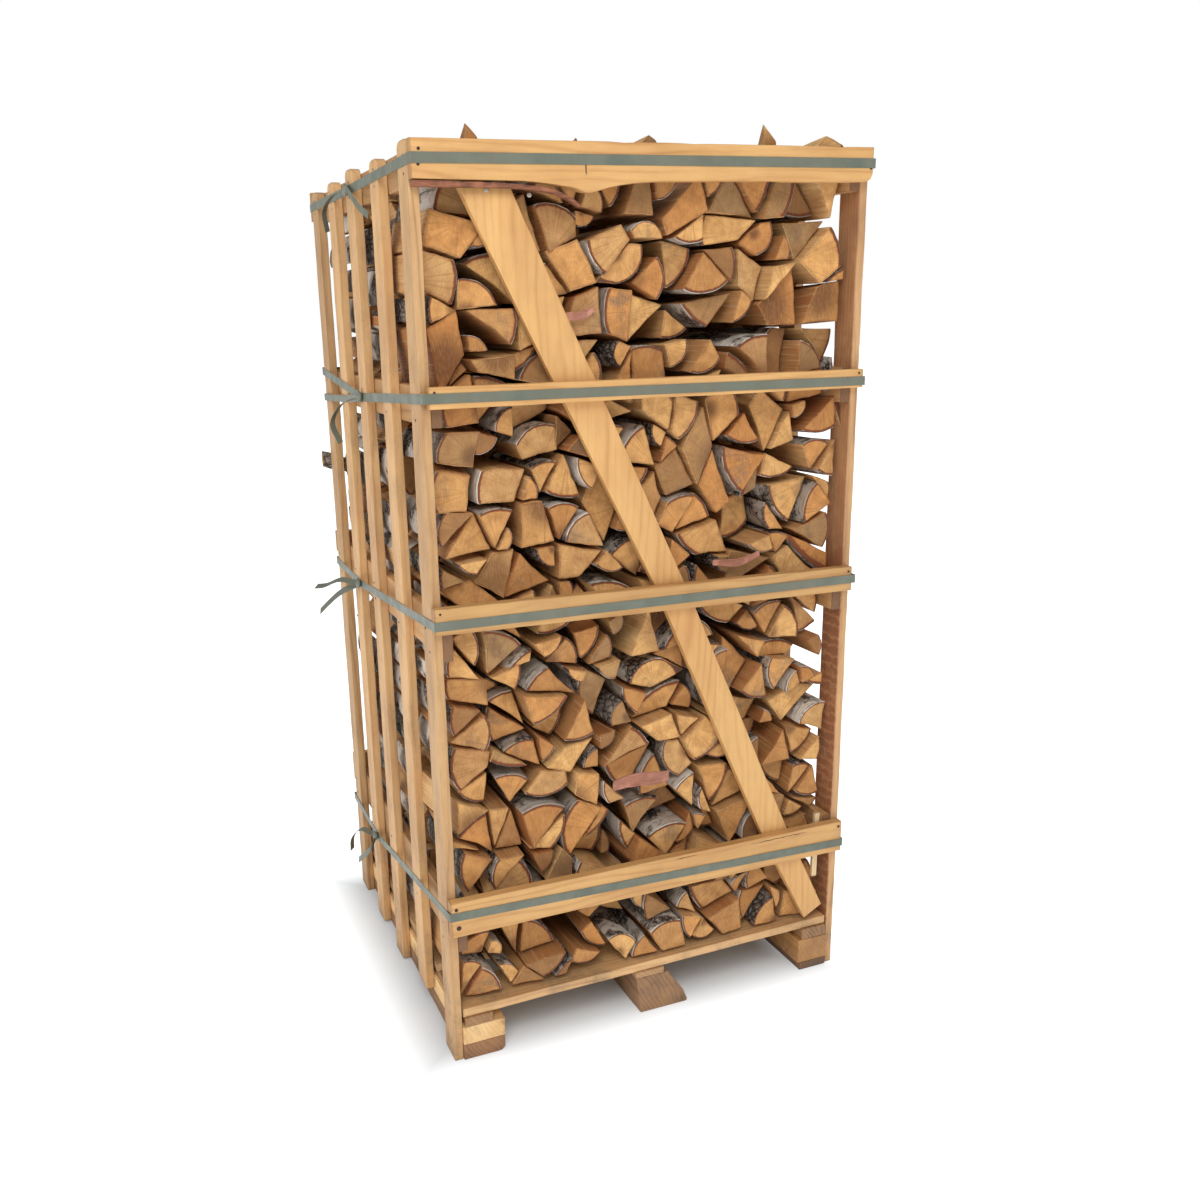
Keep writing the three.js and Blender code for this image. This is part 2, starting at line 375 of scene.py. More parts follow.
class Effect:
    """A shader node group with named sockets, built once."""

    def __init__(self, name: str, inputs: dict[str, object], outputs: dict[str, str]) -> None:
        """Makes the group and its sockets.

        Args:
            name: the group's name.
            inputs: each input's name, and its default value: a number, a vector or a colour.
            outputs: each output's name and kind: Float, Vector or Color.
        """
        self.group = bpy.data.node_groups.new(name, "ShaderNodeTree")
        for key, value in inputs.items():
            length = len(value) if isinstance(value, tuple) else 1
            kind = {1: "Float", 3: "Vector", 4: "Color"}[length]
            made = self.group.interface.new_socket(
                key, in_out="INPUT", socket_type=f"NodeSocket{kind}")
            made.default_value = value
        for key, kind in outputs.items():
            self.group.interface.new_socket(
                key, in_out="OUTPUT", socket_type=f"NodeSocket{kind}")
        self.shader = ShaderTree(self.group)
        self.inputs = self.shader.node("NodeGroupInput").outputs
        self.outputs = self.shader.node("NodeGroupOutput").inputs

    def put(self, name: str, value: Socket) -> None:
        """Sends a value out of the group."""
        self.shader.feed(self.outputs[name], value)


def sawn_grain() -> bpy.types.NodeTree:
    """Sawn softwood: drifting growth bands and fine fibres along the first axis.

    Returns:
        The effect's node group.
    """
    effect = Effect(
        "Sawn grain",
        {"Vector": (0.0, 0.0, 0.0), "Light": (0.8, 0.5, 0.2, 1.0), "Dark": (0.5, 0.25, 0.1, 1.0),
         "Bands": 1.0},
        {"Color": "Color", "Height": "Float"},
    )
    tree = effect.shader
    vector = effect.inputs["Vector"]
    drift = tree.streaks(vector, (1.6, 9.0, 9.0), 2.0)
    across = tree.split(tree.stretch(vector, (0.0, 1.0, 1.0)))
    place = tree.math("ADD", across[1], tree.math("MULTIPLY", across[2], 0.6))
    phase = tree.math("MULTIPLY_ADD", drift, 34.0, tree.math("MULTIPLY", place, 560.0))
    wave = tree.math("SINE", phase)
    late = tree.math("POWER", tree.math("MULTIPLY_ADD", wave, 0.5, 0.5), 3.0)
    faint = tree.streaks(vector, (2.5, 40.0, 40.0), 2.0)
    fibre = tree.streaks(vector, (22.0, 900.0, 900.0), 3.0, 0.6)
    patch = tree.streaks(vector, (4.0, 14.0, 14.0), 3.0, 0.6)
    banded = tree.math("MULTIPLY", late, tree.remap(faint, 0.35, 0.7, 0.15, 0.75))
    banded = tree.math("MULTIPLY", banded, effect.inputs["Bands"])
    amount = tree.math("ADD", banded, tree.remap(patch, 0.38, 0.72, 0.0, 0.55))
    amount = tree.math("ADD", amount, tree.remap(fibre, 0.45, 0.7, 0.0, 0.22), clamp=True)
    effect.put("Color", tree.mix(amount, effect.inputs["Light"], effect.inputs["Dark"]))
    rough = tree.math("MULTIPLY", fibre, 0.6)
    effect.put("Height", tree.math("ADD", rough, tree.math("MULTIPLY", late, 0.3)))
    return effect.group


def knot_mark() -> bpy.types.NodeTree:
    """One knot: an oval of darker wood with a ring round it, seen on any face of a timber.

    Returns:
        The effect's node group.
    """
    effect = Effect(
        "Knot mark",
        {"Vector": (0.0, 0.0, 0.0), "Place": (0.0, 0.0, 0.0), "Size": 0.01},
        {"Core": "Float", "Ring": "Float"},
    )
    tree = effect.shader
    away = tree.vector("SUBTRACT", effect.inputs["Vector"], effect.inputs["Place"])
    wobble = tree.noise(effect.inputs["Vector"], 160.0, 2.0)
    far = tree.vector("LENGTH", tree.stretch(away, (0.62, 1.0, 0.35)))
    share = tree.math("DIVIDE", far, effect.inputs["Size"])
    share = tree.math("ADD", share, tree.math("MULTIPLY_ADD", wobble, 0.5, -0.25))
    effect.put("Core", tree.remap(share, 0.35, 1.0, 1.0, 0.0, smooth=True))
    ring = tree.math("ABSOLUTE", tree.math("SUBTRACT", share, 1.15))
    effect.put("Ring", tree.remap(ring, 0.0, 0.45, 1.0, 0.0, smooth=True))
    return effect.group


def grime() -> bpy.types.NodeTree:
    """Handling dirt and grey weathering: soft smudges all over, and a darkening of the same pattern
    that grows towards the bottom.

    Returns:
        The effect's node group.
    """
    effect = Effect(
        "Grime",
        {"Vector": (0.0, 0.0, 0.0), "Amount": 0.3, "Low": 0.0},
        {"Mask": "Float"},
    )
    tree = effect.shader
    vector = effect.inputs["Vector"]
    cloud = tree.noise(vector, 11.0, 5.0, 0.65)
    speck = tree.noise(vector, 120.0, 3.0, 0.7)
    both = tree.math("MULTIPLY", tree.remap(cloud, 0.48, 0.78), tree.remap(speck, 0.3, 0.62, 0.35))
    height = tree.split(vector)[2]
    # Darker towards the bottom, below about 0.3 m.
    low = tree.math("MULTIPLY", tree.remap(height, 0.03, 0.3, 1.0, 0.0), effect.inputs["Low"])
    gain = tree.math("ADD", effect.inputs["Amount"], low)
    effect.put("Mask", tree.math("MULTIPLY", both, gain, clamp=True))
    return effect.group


class Effects:
    """The shared effects, built once each."""

    def __init__(self) -> None:
        """Builds every group."""
        self.grain = sawn_grain()
        self.knot = knot_mark()
        self.grime = grime()


def new_material(name: str) -> tuple[bpy.types.Material, ShaderTree, bpy.types.Node]:
    """An empty node material.

    Args:
        name: its name.

    Returns:
        The material, its shader tree and its Principled BSDF.
    """
    material = bpy.data.materials.new(name)
    material.use_nodes = True
    tree = ShaderTree(material.node_tree)
    material.node_tree.nodes.clear()
    shader = tree.node("ShaderNodeBsdfPrincipled")
    output = tree.node("ShaderNodeOutputMaterial")
    tree.feed(output.inputs["Surface"], shader.outputs[0])
    return material, tree, shader


# Finishes


@dataclass(frozen=True)
class SawnTimber:
    """Sawn softwood of one timber: its grain direction, colours, dirt and knots."""

    name: str
    along: Along
    light: Colour
    dark: Colour
    shift: Vector
    grime: float = 0.3
    low_darkening: float = 0.0
    bands: float = 1.0
    knots: tuple[tuple[float, float, float], ...] = ()
    ends: tuple[float, float] = (-9.0, 9.0)
    end_shade: float = 0.45
    cracks: tuple[tuple[float, float, float, float], ...] = ()
    # Reddish bark edge, partly painted shade on the post's inner face.
    waney_and_shaded: bool = False

    def build(self, effects: Effects) -> bpy.types.Material:
        """Builds the material.

        Knots are (x, z, size) and cracks (x, z, half width, half height), on the wide face.

        Args:
            effects: the shared effects.

        Returns:
            The material.
        """
        material, tree, shader = new_material(self.name)
        place = tree.node("ShaderNodeTexCoord").outputs["Object"]
        axes = tree.split(place)
        order = self.along.value
        turned = tree.join(axes[order[0]], axes[order[1]], axes[order[2]])
        moved = tree.vector("ADD", turned, tuple(self.shift))
        grain = tree.effect(
            effects.grain, Vector=moved, Light=self.light, Dark=self.dark, Bands=self.bands)
        colour = grain.outputs["Color"]
        for x, z, size in self.knots:
            knot = tree.effect(effects.knot, Vector=place, Place=(x, 0.0, z), Size=size)
            colour = tree.tint(colour, knot.outputs["Ring"], 0.45, (176, 112, 58))
            colour = tree.tint(colour, knot.outputs["Core"], 0.85, (104, 58, 30))
        if self.waney_and_shaded:
            colour = self.bark_and_shade_edge(tree, place, colour)
        colour = self.split_marks(tree, place, colour)
        colour = self.dark_ends(tree, axes[order[0]], colour)
        dirt = tree.effect(
            effects.grime, Vector=place, Amount=self.grime, Low=self.low_darkening).outputs["Mask"]
        colour = tree.mix(dirt, colour, srgb(98, 84, 70))
        tree.feed(shader.inputs["Base Color"], colour)
        tree.feed(shader.inputs["Roughness"], tree.remap(dirt, 0.0, 1.0, 0.62, 0.9))
        normal = tree.bump(grain.outputs["Height"], 0.35, 0.0012)
        tree.feed(shader.inputs["Normal"], normal)
        return material

    def split_marks(self, tree: ShaderTree, place: Socket, colour: Socket) -> Socket:
        """Dark ragged lines where the timber has cracked.

        Args:
            tree: the material's shader tree.
            place: the object coordinates.
            colour: the wood's colour so far.

        Returns:
            The colour with the cracks on it.
        """
        axes = tree.split(place)
        for x, z, wide, high in self.cracks:
            wobble = tree.noise(place, 70.0, 2.0)
            off = tree.math("MULTIPLY_ADD", wobble, 0.006, -0.003)
            gaps = []
            for axis, middle, half in ((0, x, wide), (2, z, high)):
                away = tree.math("SUBTRACT", tree.math("ADD", axes[axis], off), middle)
                gaps.append(tree.math("DIVIDE", tree.math("ABSOLUTE", away), half))
            gap = tree.remap(tree.math("MAXIMUM", *gaps), 0.6, 1.0, 0.9, 0.0)
            colour = tree.mix(gap, colour, srgb(52, 32, 20))
        return colour

    def dark_ends(self, tree: ShaderTree, run: Socket, colour: Socket) -> Socket:
        """Darkens the sawn ends, which take up more dirt and damp; where the end shade is set high, as
        on the rails, the extra darkening is painted shade for ends that sit in shade.

        Args:
            tree: the material's shader tree.
            run: how far along the timber the surface is.
            colour: the wood's colour so far.

        Returns:
            The colour with its ends shaded.
        """
        start, end = self.ends
        near = tree.remap(run, start + 0.0015, start + 0.0035, self.end_shade, 0.0)
        far = tree.remap(run, end - 0.0035, end - 0.0015, 0.0, self.end_shade)
        return tree.mix(tree.math("MAXIMUM", near, far), colour, srgb(96, 62, 38))

    @staticmethod
    def bark_and_shade_edge(tree: ShaderTree, place: Socket, colour: Socket) -> Socket:
        """Reddish bark left on the post's inner side, with tooth marks across it lower down. The
        reddish brown is partly that real bark and partly painted shade on the post's inner face.

        Args:
            tree: the material's shader tree.
            place: the object coordinates.
            colour: the wood's colour so far.

        Returns:
            The colour with the bark, and its painted shade, on it.
        """
        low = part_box("right_front_corner_post")[0]
        axes = tree.split(place)
        rough = tree.noise(place, 45.0, 3.0, 0.6)
        inward = tree.math("SUBTRACT", axes[0], low.x)
        inside = tree.remap(tree.math("MULTIPLY_ADD", rough, 0.006, inward), 0.003, 0.007, 1.0, 0.0)
        lower = tree.remap(axes[2], 0.95, 1.15, 0.85, 0.5)
        # Reddish brown on the inner edge: real bark, and painted shade on the post's inner face.
        colour = tree.mix(tree.math("MULTIPLY", inside, lower), colour, srgb(134, 78, 50))
        climb = tree.math("MULTIPLY", axes[2], 260.0)
        teeth = tree.math("SINE", tree.math("MULTIPLY_ADD", rough, 9.0, climb))
        mark = tree.math("MULTIPLY", tree.remap(teeth, 0.3, 0.8), inside)
        mark = tree.math("MULTIPLY", mark, tree.remap(axes[2], 0.98, 1.04, 0.45, 0.0))
        return tree.mix(mark, colour, srgb(196, 140, 96))


@dataclass(frozen=True)
class EndGrain:
    """Sawn end of a split birch log, with its bark line, heart stain and saw marks."""

    name: str = "birch_end_grain"

    def build(self) -> bpy.types.Material:
        """Builds the material from the log attributes place, ring and tone.

        Returns:
            The material.
        """
        material, tree, shader = new_material(self.name)
        seeded, offset, tone = tree.log_place(37.0)
        ring = tree.attribute("ring").outputs["Vector"]
        rim = tree.attribute("rim").outputs["Fac"]
        radius = tree.vector("LENGTH", ring)
        ray = tree.vector("NORMALIZE", ring)
        base = tree.mix(tone[0], srgb(182, 126, 70), srgb(234, 184, 116))
        base = tree.stain(base, tone[2], (0.6, 1.0), 0.6, (206, 136, 70))
        base = tree.stain(base, tone[2], (0.3, 0.0), 0.4, (176, 148, 110))
        cloud = tree.noise(seeded, 34.0, 4.0, 0.6)
        base = tree.stain(base, cloud, (0.35, 0.7), 0.6, (146, 94, 50))
        rays = tree.noise(
            tree.vector("ADD", tree.vector("SCALE", ray, scale=16.0), offset), 1.0, 3.0, 0.7)
        base = tree.stain(base, rays, (0.5, 0.72), 0.55, (132, 82, 42))
        wobble = tree.noise(seeded, 45.0, 2.0)
        turns = tree.math("MULTIPLY_ADD", radius, 95.0, tree.math("MULTIPLY", wobble, 6.0))
        rings = tree.math("MULTIPLY_ADD", tree.math("SINE", turns), 0.5, 0.5)
        base = tree.tint(base, rings, 0.10, (130, 84, 48))
        heart = tree.remap(
            tree.math("MULTIPLY_ADD", cloud, 0.35, radius), 0.3, 0.62, 1.0, 0.0, smooth=True)
        heart = tree.math("MULTIPLY", heart, tree.remap(tone[1], 0.55, 0.75))
        base = tree.tint(base, heart, 0.8, (100, 60, 34))
        mould = tree.noise(seeded, 16.0, 4.0, 0.7)
        mould = tree.math(
            "MULTIPLY", tree.remap(mould, 0.52, 0.66), tree.remap(tone[1], 0.3, 0.14))
        base = tree.tint(base, mould, 0.6, (104, 92, 80))
        cut = tree.streaks(seeded, (620.0, 60.0, 60.0), 2.0, 0.6)
        base = tree.stain(base, cut, (0.5, 0.8), 0.25, (236, 198, 142))
        line = tree.noise(seeded, 130.0, 3.0, 0.6)
        worn = tree.math("MULTIPLY_ADD", line, 0.16, rim)
        base = tree.stain(base, worn, (0.98, 1.1), 0.5, (104, 62, 34))
        dull = tree.math("GREATER_THAN", tree.noise(offset, 3.1, 0.0), 0.63)
        base = tree.tint(base, dull, 0.5, (108, 82, 58))
        edge = tree.math("MULTIPLY_ADD", line, 0.05, radius)
        base = tree.stain(base, edge, (0.955, 0.975), 1.0, (124, 66, 38))
        base = tree.stain(base, edge, (1.0, 1.01), 1.0, (92, 66, 50))
        tree.feed(shader.inputs["Base Color"], base)
        shader.inputs["Roughness"].default_value = 0.78
        shader.inputs["Specular IOR Level"].default_value = 0.3
        height = tree.math("MULTIPLY_ADD", cut, 0.5, tree.math("MULTIPLY", cloud, 0.8))
        height = tree.math("MULTIPLY_ADD", rays, 0.5, height)
        tree.feed(shader.inputs["Normal"], tree.bump(height, 0.5, 0.002))
        return material


@dataclass(frozen=True)
class SplitFace:
    """Torn long side of a split birch log: fibres along the log, pale to orange brown."""

    name: str = "birch_split_face"

    def build(self) -> bpy.types.Material:
        """Builds the material from the log attributes place and tone.

        Returns:
            The material.
        """
        material, tree, shader = new_material(self.name)
        seeded, _, tone = tree.log_place(23.0)
        base = tree.mix(tone[0], srgb(162, 106, 58), srgb(226, 184, 124))
        cloud = tree.streaks(seeded, (22.0, 22.0, 7.0), 4.0, 0.6)
        base = tree.stain(base, cloud, (0.4, 0.75), 0.7, (168, 98, 54))
        fibre = tree.streaks(seeded, (330.0, 330.0, 9.0), 4.0, 0.65)
        base = tree.stain(base, fibre, (0.42, 0.72), 0.5, (132, 82, 46))
        gleam = tree.streaks(seeded, (150.0, 150.0, 4.0), 3.0, 0.6)
        base = tree.stain(base, gleam, (0.55, 0.8), 0.5, (240, 208, 160))
        tree.feed(shader.inputs["Base Color"], base)
        shader.inputs["Roughness"].default_value = 0.7
        shader.inputs["Specular IOR Level"].default_value = 0.35
        height = tree.math("MULTIPLY_ADD", fibre, 0.8, tree.math("MULTIPLY", gleam, 0.9))
        tree.feed(shader.inputs["Normal"], tree.bump(height, 0.7, 0.004))
        return material


@dataclass(frozen=True)
class BirchBark:
    """Birch bark: chalky white with dark lenticels, and black cracked patches."""

    name: str = "birch_bark"

    def build(self) -> bpy.types.Material:
        """Builds the material from the log attributes place and tone.

        Returns:
            The material.
        """
        material, tree, shader = new_material(self.name)
        seeded, _, tone = tree.log_place(29.0)
        base = tree.mix(tone[2], srgb(222, 214, 202), srgb(166, 154, 142))
        tint = tree.streaks(seeded, (18.0, 18.0, 30.0), 3.0, 0.6)
        base = tree.stain(base, tint, (0.5, 0.72), 0.7, (176, 142, 110))
        dash = tree.streaks(seeded, (34.0, 34.0, 420.0), 2.0, 0.5)
        dash_mask = tree.remap(dash, 0.62, 0.67)
        base = tree.tint(base, dash_mask, 0.85, (66, 54, 48))
        crack = tree.cells(tree.stretch(seeded, (70.0, 70.0, 45.0)), 1.0, "DISTANCE_TO_EDGE")
        rough = tree.noise(seeded, 13.0, 4.0, 0.65)
        old = tree.remap(tone[1], 0.8, 0.95, 0.0, 0.8)
        old = tree.math("MINIMUM", tree.math("ADD", tree.remap(rough, 0.49, 0.58), old), 1.0)
        scale = tree.noise(seeded, 210.0, 3.0, 0.7)
        rugged = tree.mix(tree.remap(scale, 0.35, 0.65), srgb(62, 52, 46), srgb(160, 148, 136))
        rugged = tree.mix(tree.remap(crack, 0.0, 0.16, 0.9, 0.0), rugged, srgb(26, 20, 18))
        base = tree.mix(old, base, rugged)
        tree.feed(shader.inputs["Base Color"], base)
        shader.inputs["Roughness"].default_value = 0.85
        shader.inputs["Specular IOR Level"].default_value = 0.2
        relief = tree.math("MULTIPLY", old, tree.remap(crack, 0.0, 0.3))
        height = tree.math("MULTIPLY_ADD", scale, 0.4, tree.math("MULTIPLY", relief, 1.2))
        height = tree.math("SUBTRACT", height, tree.math("MULTIPLY", dash_mask, 0.4))
        tree.feed(shader.inputs["Normal"], tree.bump(height, 0.8, 0.006))
        return material


@dataclass(frozen=True)
class InnerBark:
    """Peeled birch bark seen from inside: pinkish brown, streaked."""

    name: str = "inner_bark"
    blush: Colour = srgb(176, 116, 84)
    pale: float = 0.0

    def build(self) -> bpy.types.Material:
        """Builds the material from the object coordinates.

        Returns:
            The material.
        """
        material, tree, shader = new_material(self.name)
        place = tree.node("ShaderNodeTexCoord").outputs["Object"]
        streak = tree.streaks(place, (30.0, 30.0, 260.0), 4.0, 0.6)
        cloud = tree.noise(place, 30.0, 3.0)
        base = tree.mix(tree.remap(streak, 0.35, 0.65), srgb(150, 92, 62), srgb(88, 50, 34))
        patches = tree.remap(cloud, 0.5, 0.7, self.pale, 0.6 + self.pale * 0.6)
        base = tree.mix(patches, base, self.blush)
        tree.feed(shader.inputs["Base Color"], base)
        shader.inputs["Roughness"].default_value = 0.7
        tree.feed(shader.inputs["Normal"], tree.bump(streak, 0.5, 0.002))
        return material


@dataclass(frozen=True)
class StrapPlastic:
    """Grey green plastic strapping with a fine embossed lattice."""

    name: str = "strap_plastic"

    def build(self, effects: Effects) -> bpy.types.Material:
        """Builds the material from the object coordinates.

        Args:
            effects: the shared effects.

        Returns:
            The material.
        """
        material, tree, shader = new_material(self.name)
        place = tree.node("ShaderNodeTexCoord").outputs["Object"]
        x, y, z = tree.split(place)
        run = tree.math("ADD", x, y)
        pitch = 2200.0
        waves = []
        for sign in (1.0, -1.0):
            path = tree.math("MULTIPLY_ADD", z, sign, run)
            waves.append(tree.math("SINE", tree.math("MULTIPLY", path, pitch)))
        lattice = tree.math("MAXIMUM", *waves)
        cloud = tree.noise(place, 22.0, 3.0, 0.6)
        base = tree.mix(tree.remap(cloud, 0.35, 0.7), srgb(108, 112, 98), srgb(88, 96, 84))
        dirt = tree.effect(effects.grime, Vector=place, Amount=0.6).outputs["Mask"]
        base = tree.mix(dirt, base, srgb(134, 122, 98))
        tree.feed(shader.inputs["Base Color"], base)
        tree.feed(shader.inputs["Roughness"], tree.remap(cloud, 0.3, 0.7, 0.38, 0.55))
        tree.feed(shader.inputs["Normal"], tree.bump(lattice, 0.15, 0.0004))
        return material


@dataclass(frozen=True)
class Steel:
    """Steel of nails and screws."""

    name: str
    colour: Colour
    roughness: float

    def build(self) -> bpy.types.Material:
        """Builds the material, with rust specks.

        Returns:
            The material.
        """
        material, tree, shader = new_material(self.name)
        place = tree.node("ShaderNodeTexCoord").outputs["Object"]
        rust = tree.remap(tree.noise(place, 900.0, 2.0), 0.5, 0.65)
        tree.feed(shader.inputs["Base Color"], tree.mix(rust, self.colour, srgb(92, 56, 40)))
        shader.inputs["Metallic"].default_value = 0.85
        shader.inputs["Roughness"].default_value = self.roughness
        return material


# Mesh helpers


def new_piece(name: str, mesh: bpy.types.Mesh,
              replaced: Iterable[str] = ()) -> bpy.types.Object:
    """Adds a mesh as a piece of the crate.

    Args:
        name: the piece's name.
        mesh: its mesh, already in the frame's coordinates.
        replaced: the CAD nodes that it stands for.

    Returns:
        The new object, riding on the crate's one body.
    """
    piece = bpy.data.objects.new(name, mesh)
    bpy.context.scene.collection.objects.link(piece)
    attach(piece, BODY)
    nodes = list(replaced)
    if nodes:
        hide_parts(*nodes)
    log.info("%s: %d faces", name, len(mesh.polygons))
    return piece


def smooth(mesh: bpy.types.Mesh, degrees: float) -> None:
    """Shades a mesh smooth, with hard edges above an angle.

    Args:
        mesh: the mesh.
        degrees: the angle.
    """
    mesh.shade_smooth()
    mesh.set_sharp_from_angle(angle=math.radians(degrees))


# The crate's timber

SLOT_TONES = {
    "slat_pine": ((206, 164, 112), (156, 112, 72)),
    "rail_pine": ((198, 152, 100), (156, 108, 66)),
    "board_pine": ((211, 165, 104), (180, 128, 74)),
    "deck_pine": ((212, 170, 118), (160, 118, 78)),
    "runner_pine": ((180, 136, 88), (116, 80, 52)),
    "split_birch": ((232, 206, 162), (200, 160, 112)),
}
# Tones of single pieces: partly each piece's own colour, partly painted light and shade. The left beam
# is made lighter as lit; the middle beam, the right skid and the right front post are made darker as
# painted shade.
NODE_TONES_AND_SHADING = {
    "left_runner_beam": ((236, 198, 140), (204, 152, 94)),
    "left_runner_skid": ((170, 122, 80), (112, 78, 52)),
    "middle_runner_beam": ((160, 120, 82), (112, 80, 54)),
    "middle_runner_spacer": ((196, 154, 108), (150, 108, 70)),
    "right_runner_beam": ((206, 150, 88), (150, 102, 58)),
    "right_runner_skid": ((128, 90, 62), (84, 60, 44)),
    "right_front_corner_post": ((206, 162, 112), (156, 110, 72)),
}


@dataclass
class TimberFrame:
    """Slats, rails, boards, braces, deck and runners: the CAD timbers with sawn, worn edges."""

    crate: Crate
    effects: Effects
    ring_step: float = 0.03
    wave: float = 0.0009
    seed: int = 11
    rng: random.Random = field(init=False)

    def __post_init__(self) -> None:
        """Starts the seeded random numbers, and the noise that else starts from the clock."""
        self.rng = random.Random(self.seed)
        noise.seed_set(self.seed)

    def build(self) -> None:
        """Makes every timber."""
        slat_names = ["front_corner_post", "slat_1", "slat_2", "slat_3", "back_corner_post"]
        for side in SIDES:
            for name in slat_names:
                self.timber(f"{side}_{name}", Along.Z, "slat_pine", 0.35, 0.9)
            for level in LEVELS:
                self.timber(f"{side}_{level}_rail", Along.Y, "rail_pine", 0.4)
            for part in ("spacer", "beam", "skid"):
                self.timber(f"{side}_runner_{part}", Along.Y, "runner_pine", 0.5, 0.9)
        for part in ("spacer", "beam"):
            self.timber(f"middle_runner_{part}", Along.Y, "runner_pine", 0.6, 0.9)
        for face in ("front", "back"):
            for level in LEVELS:
                self.timber(f"{face}_{level}_board", Along.X, "board_pine", 0.15)
            self.timber(f"{face}_diagonal_brace", Along.Z, "board_pine", 0.15)
        for number in range(1, 6):
            self.timber(f"deck_board_{number}", Along.X, "deck_pine", 0.7, 0.4)
        self.timber("loose_stick", Along.Z, "split_birch", 0.1)

    def colours(self, node: str, slot: str) -> tuple[Colour, Colour]:
        """A light and a dark wood colour for one timber: its own, partly painted light and shade, or
        its slot's.

        Args:
            node: the timber's CAD node.
            slot: its material slot.

        Returns:
            The light and the dark colour.
        """
        shade = self.rng.uniform(0.93, 1.05)
        pair = NODE_TONES_AND_SHADING.get(node, SLOT_TONES[slot])
        return tuple(srgb(*[min(255, c * shade) for c in tone]) for tone in pair)

    def timber(self, node: str, along: Along, slot: str, dirt: float, low: float = 0.0) -> None:
        """Makes one timber from its CAD node, and gives it its own wood.

        Args:
            node: the CAD node.
            along: the way its grain runs.
            slot: its material slot.
            dirt: how dirty it is all over.
            low: how much darker it gets towards the bottom.
        """
        mesh = self.worn_mesh(node, along)
        light, dark = self.colours(node, slot)
        low_corner, high_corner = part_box(node)
        axis = along.value[0]
        shift = Vector([self.rng.uniform(-9.0, 9.0) for _ in range(3)])
        finish = SawnTimber(
            name=f"wood_{node}",
            along=along,
            light=light,
            dark=dark,
            shift=shift,
            grime=dirt,
            low_darkening=low,
            bands=self.rng.uniform(0.5, 1.0),
            knots=self.knots(node),
            ends=(low_corner[axis], high_corner[axis]),
            # Rail ends are darkened most: painted shade, for rail ends that sit in shade.
            end_shade={"rail_pine": 0.8, "runner_pine": 0.12}.get(slot, 0.4),
            cracks=self.cracks(node),
            waney_and_shaded=node == "right_front_corner_post",
        )
        mesh.materials.append(finish.build(self.effects))
        new_piece(f"{node}_timber", mesh, [node])

    def cracks(self, node: str) -> tuple[tuple[float, float, float, float], ...]:
        """Dark splits on one timber, as (x, z, half width, half height) in the frame.

        Args:
            node: the timber's CAD node.

        Returns:
            Its splits, if it has any.
        """
        known = {
            "front_top_board": ((0.34, 1.87, 0.0016, 0.016), (0.74, 1.897, 0.02, 0.0015)),
            "front_bottom_board": ((0.82, 0.388, 0.085, 0.0013), (0.57, 0.391, 0.03, 0.001)),
        }
        x, z = self.crate.corner.x, self.crate.corner.z
        return tuple((one + x, two + z, wide, high) for one, two, wide, high in known.get(node, ()))

    def knots(self, node: str) -> tuple[tuple[float, float, float], ...]:
        """Knots on one timber's wide face, as (x, z, size) in the frame's coordinates.

        Args:
            node: the timber's CAD node.

        Returns:
            Its knots: known ones, or a few at random.
        """
        low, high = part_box(node)
        known = {
            "front_top_board": ((0.115, 1.891, 0.007), (0.41, 1.904, 0.005)),
            "front_diagonal_brace": ((0.727, 0.631, 0.009), (0.795, 0.51, 0.006)),
            "front_bottom_board": ((0.19, 0.362, 0.006),),
        }
        if node in known:
            corner = self.crate.corner
            return tuple((x + corner.x, z, size) for x, z, size in known[node])
        found = []
        for _ in range(self.rng.choice((0, 1, 1, 2))):
            x = self.rng.uniform(low.x, high.x)
            z = self.rng.uniform(low.z, high.z)
            found.append((x, z, self.rng.uniform(0.006, 0.011)))
        return tuple(found)

    def worn_mesh(self, node: str, along: Along) -> bpy.types.Mesh:
        """The CAD timber cut into short lengths, its edges wavy and a little chipped.

        Args:
            node: the CAD node.
            along: the way its grain runs.

        Returns:
            The worn mesh.
        """
        shape = bmesh.new()
        shape.from_mesh(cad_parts[node].data)
        bmesh.ops.remove_doubles(shape, verts=shape.verts[:], dist=1e-5)
        bmesh.ops.dissolve_limit(
            shape, angle_limit=math.radians(1.0), verts=shape.verts[:], edges=shape.edges[:])
        axis = along.value[0]
        low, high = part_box(node)
        count = max(2, round((high[axis] - low[axis]) / self.ring_step))
        normal = Vector([1.0 if i == axis else 0.0 for i in range(3)])
        for index in range(1, count):
            place = low + (high - low) * (index / count)
            geometry = shape.verts[:] + shape.edges[:] + shape.faces[:]
            bmesh.ops.bisect_plane(shape, geom=geometry, plane_co=place, plane_no=normal)
        seed = Vector([self.rng.uniform(0, 90) for _ in range(3)])
        middle = (low + high) / 2
        for vertex in shape.verts:
            where = vertex.co * 9.0 + seed
            push = noise.noise_vector(where) * self.wave
            fine = noise.noise_vector(vertex.co * 70.0 + seed) * self.wave * 0.35
            chip = max(0.0, noise.noise(vertex.co * 31.0 + seed) - 0.42) * 0.006
            inward = middle - vertex.co
            inward[axis] = 0.0
            push += fine + inward.normalized() * chip
            push[axis] *= 0.3
            vertex.co += push
            vertex.co.z = max(vertex.co.z, 0.0)
        mesh = bpy.data.meshes.new(f"{node}_timber")
        shape.to_mesh(mesh)
        shape.free()
        smooth(mesh, 28.0)
        return mesh


# The split logs


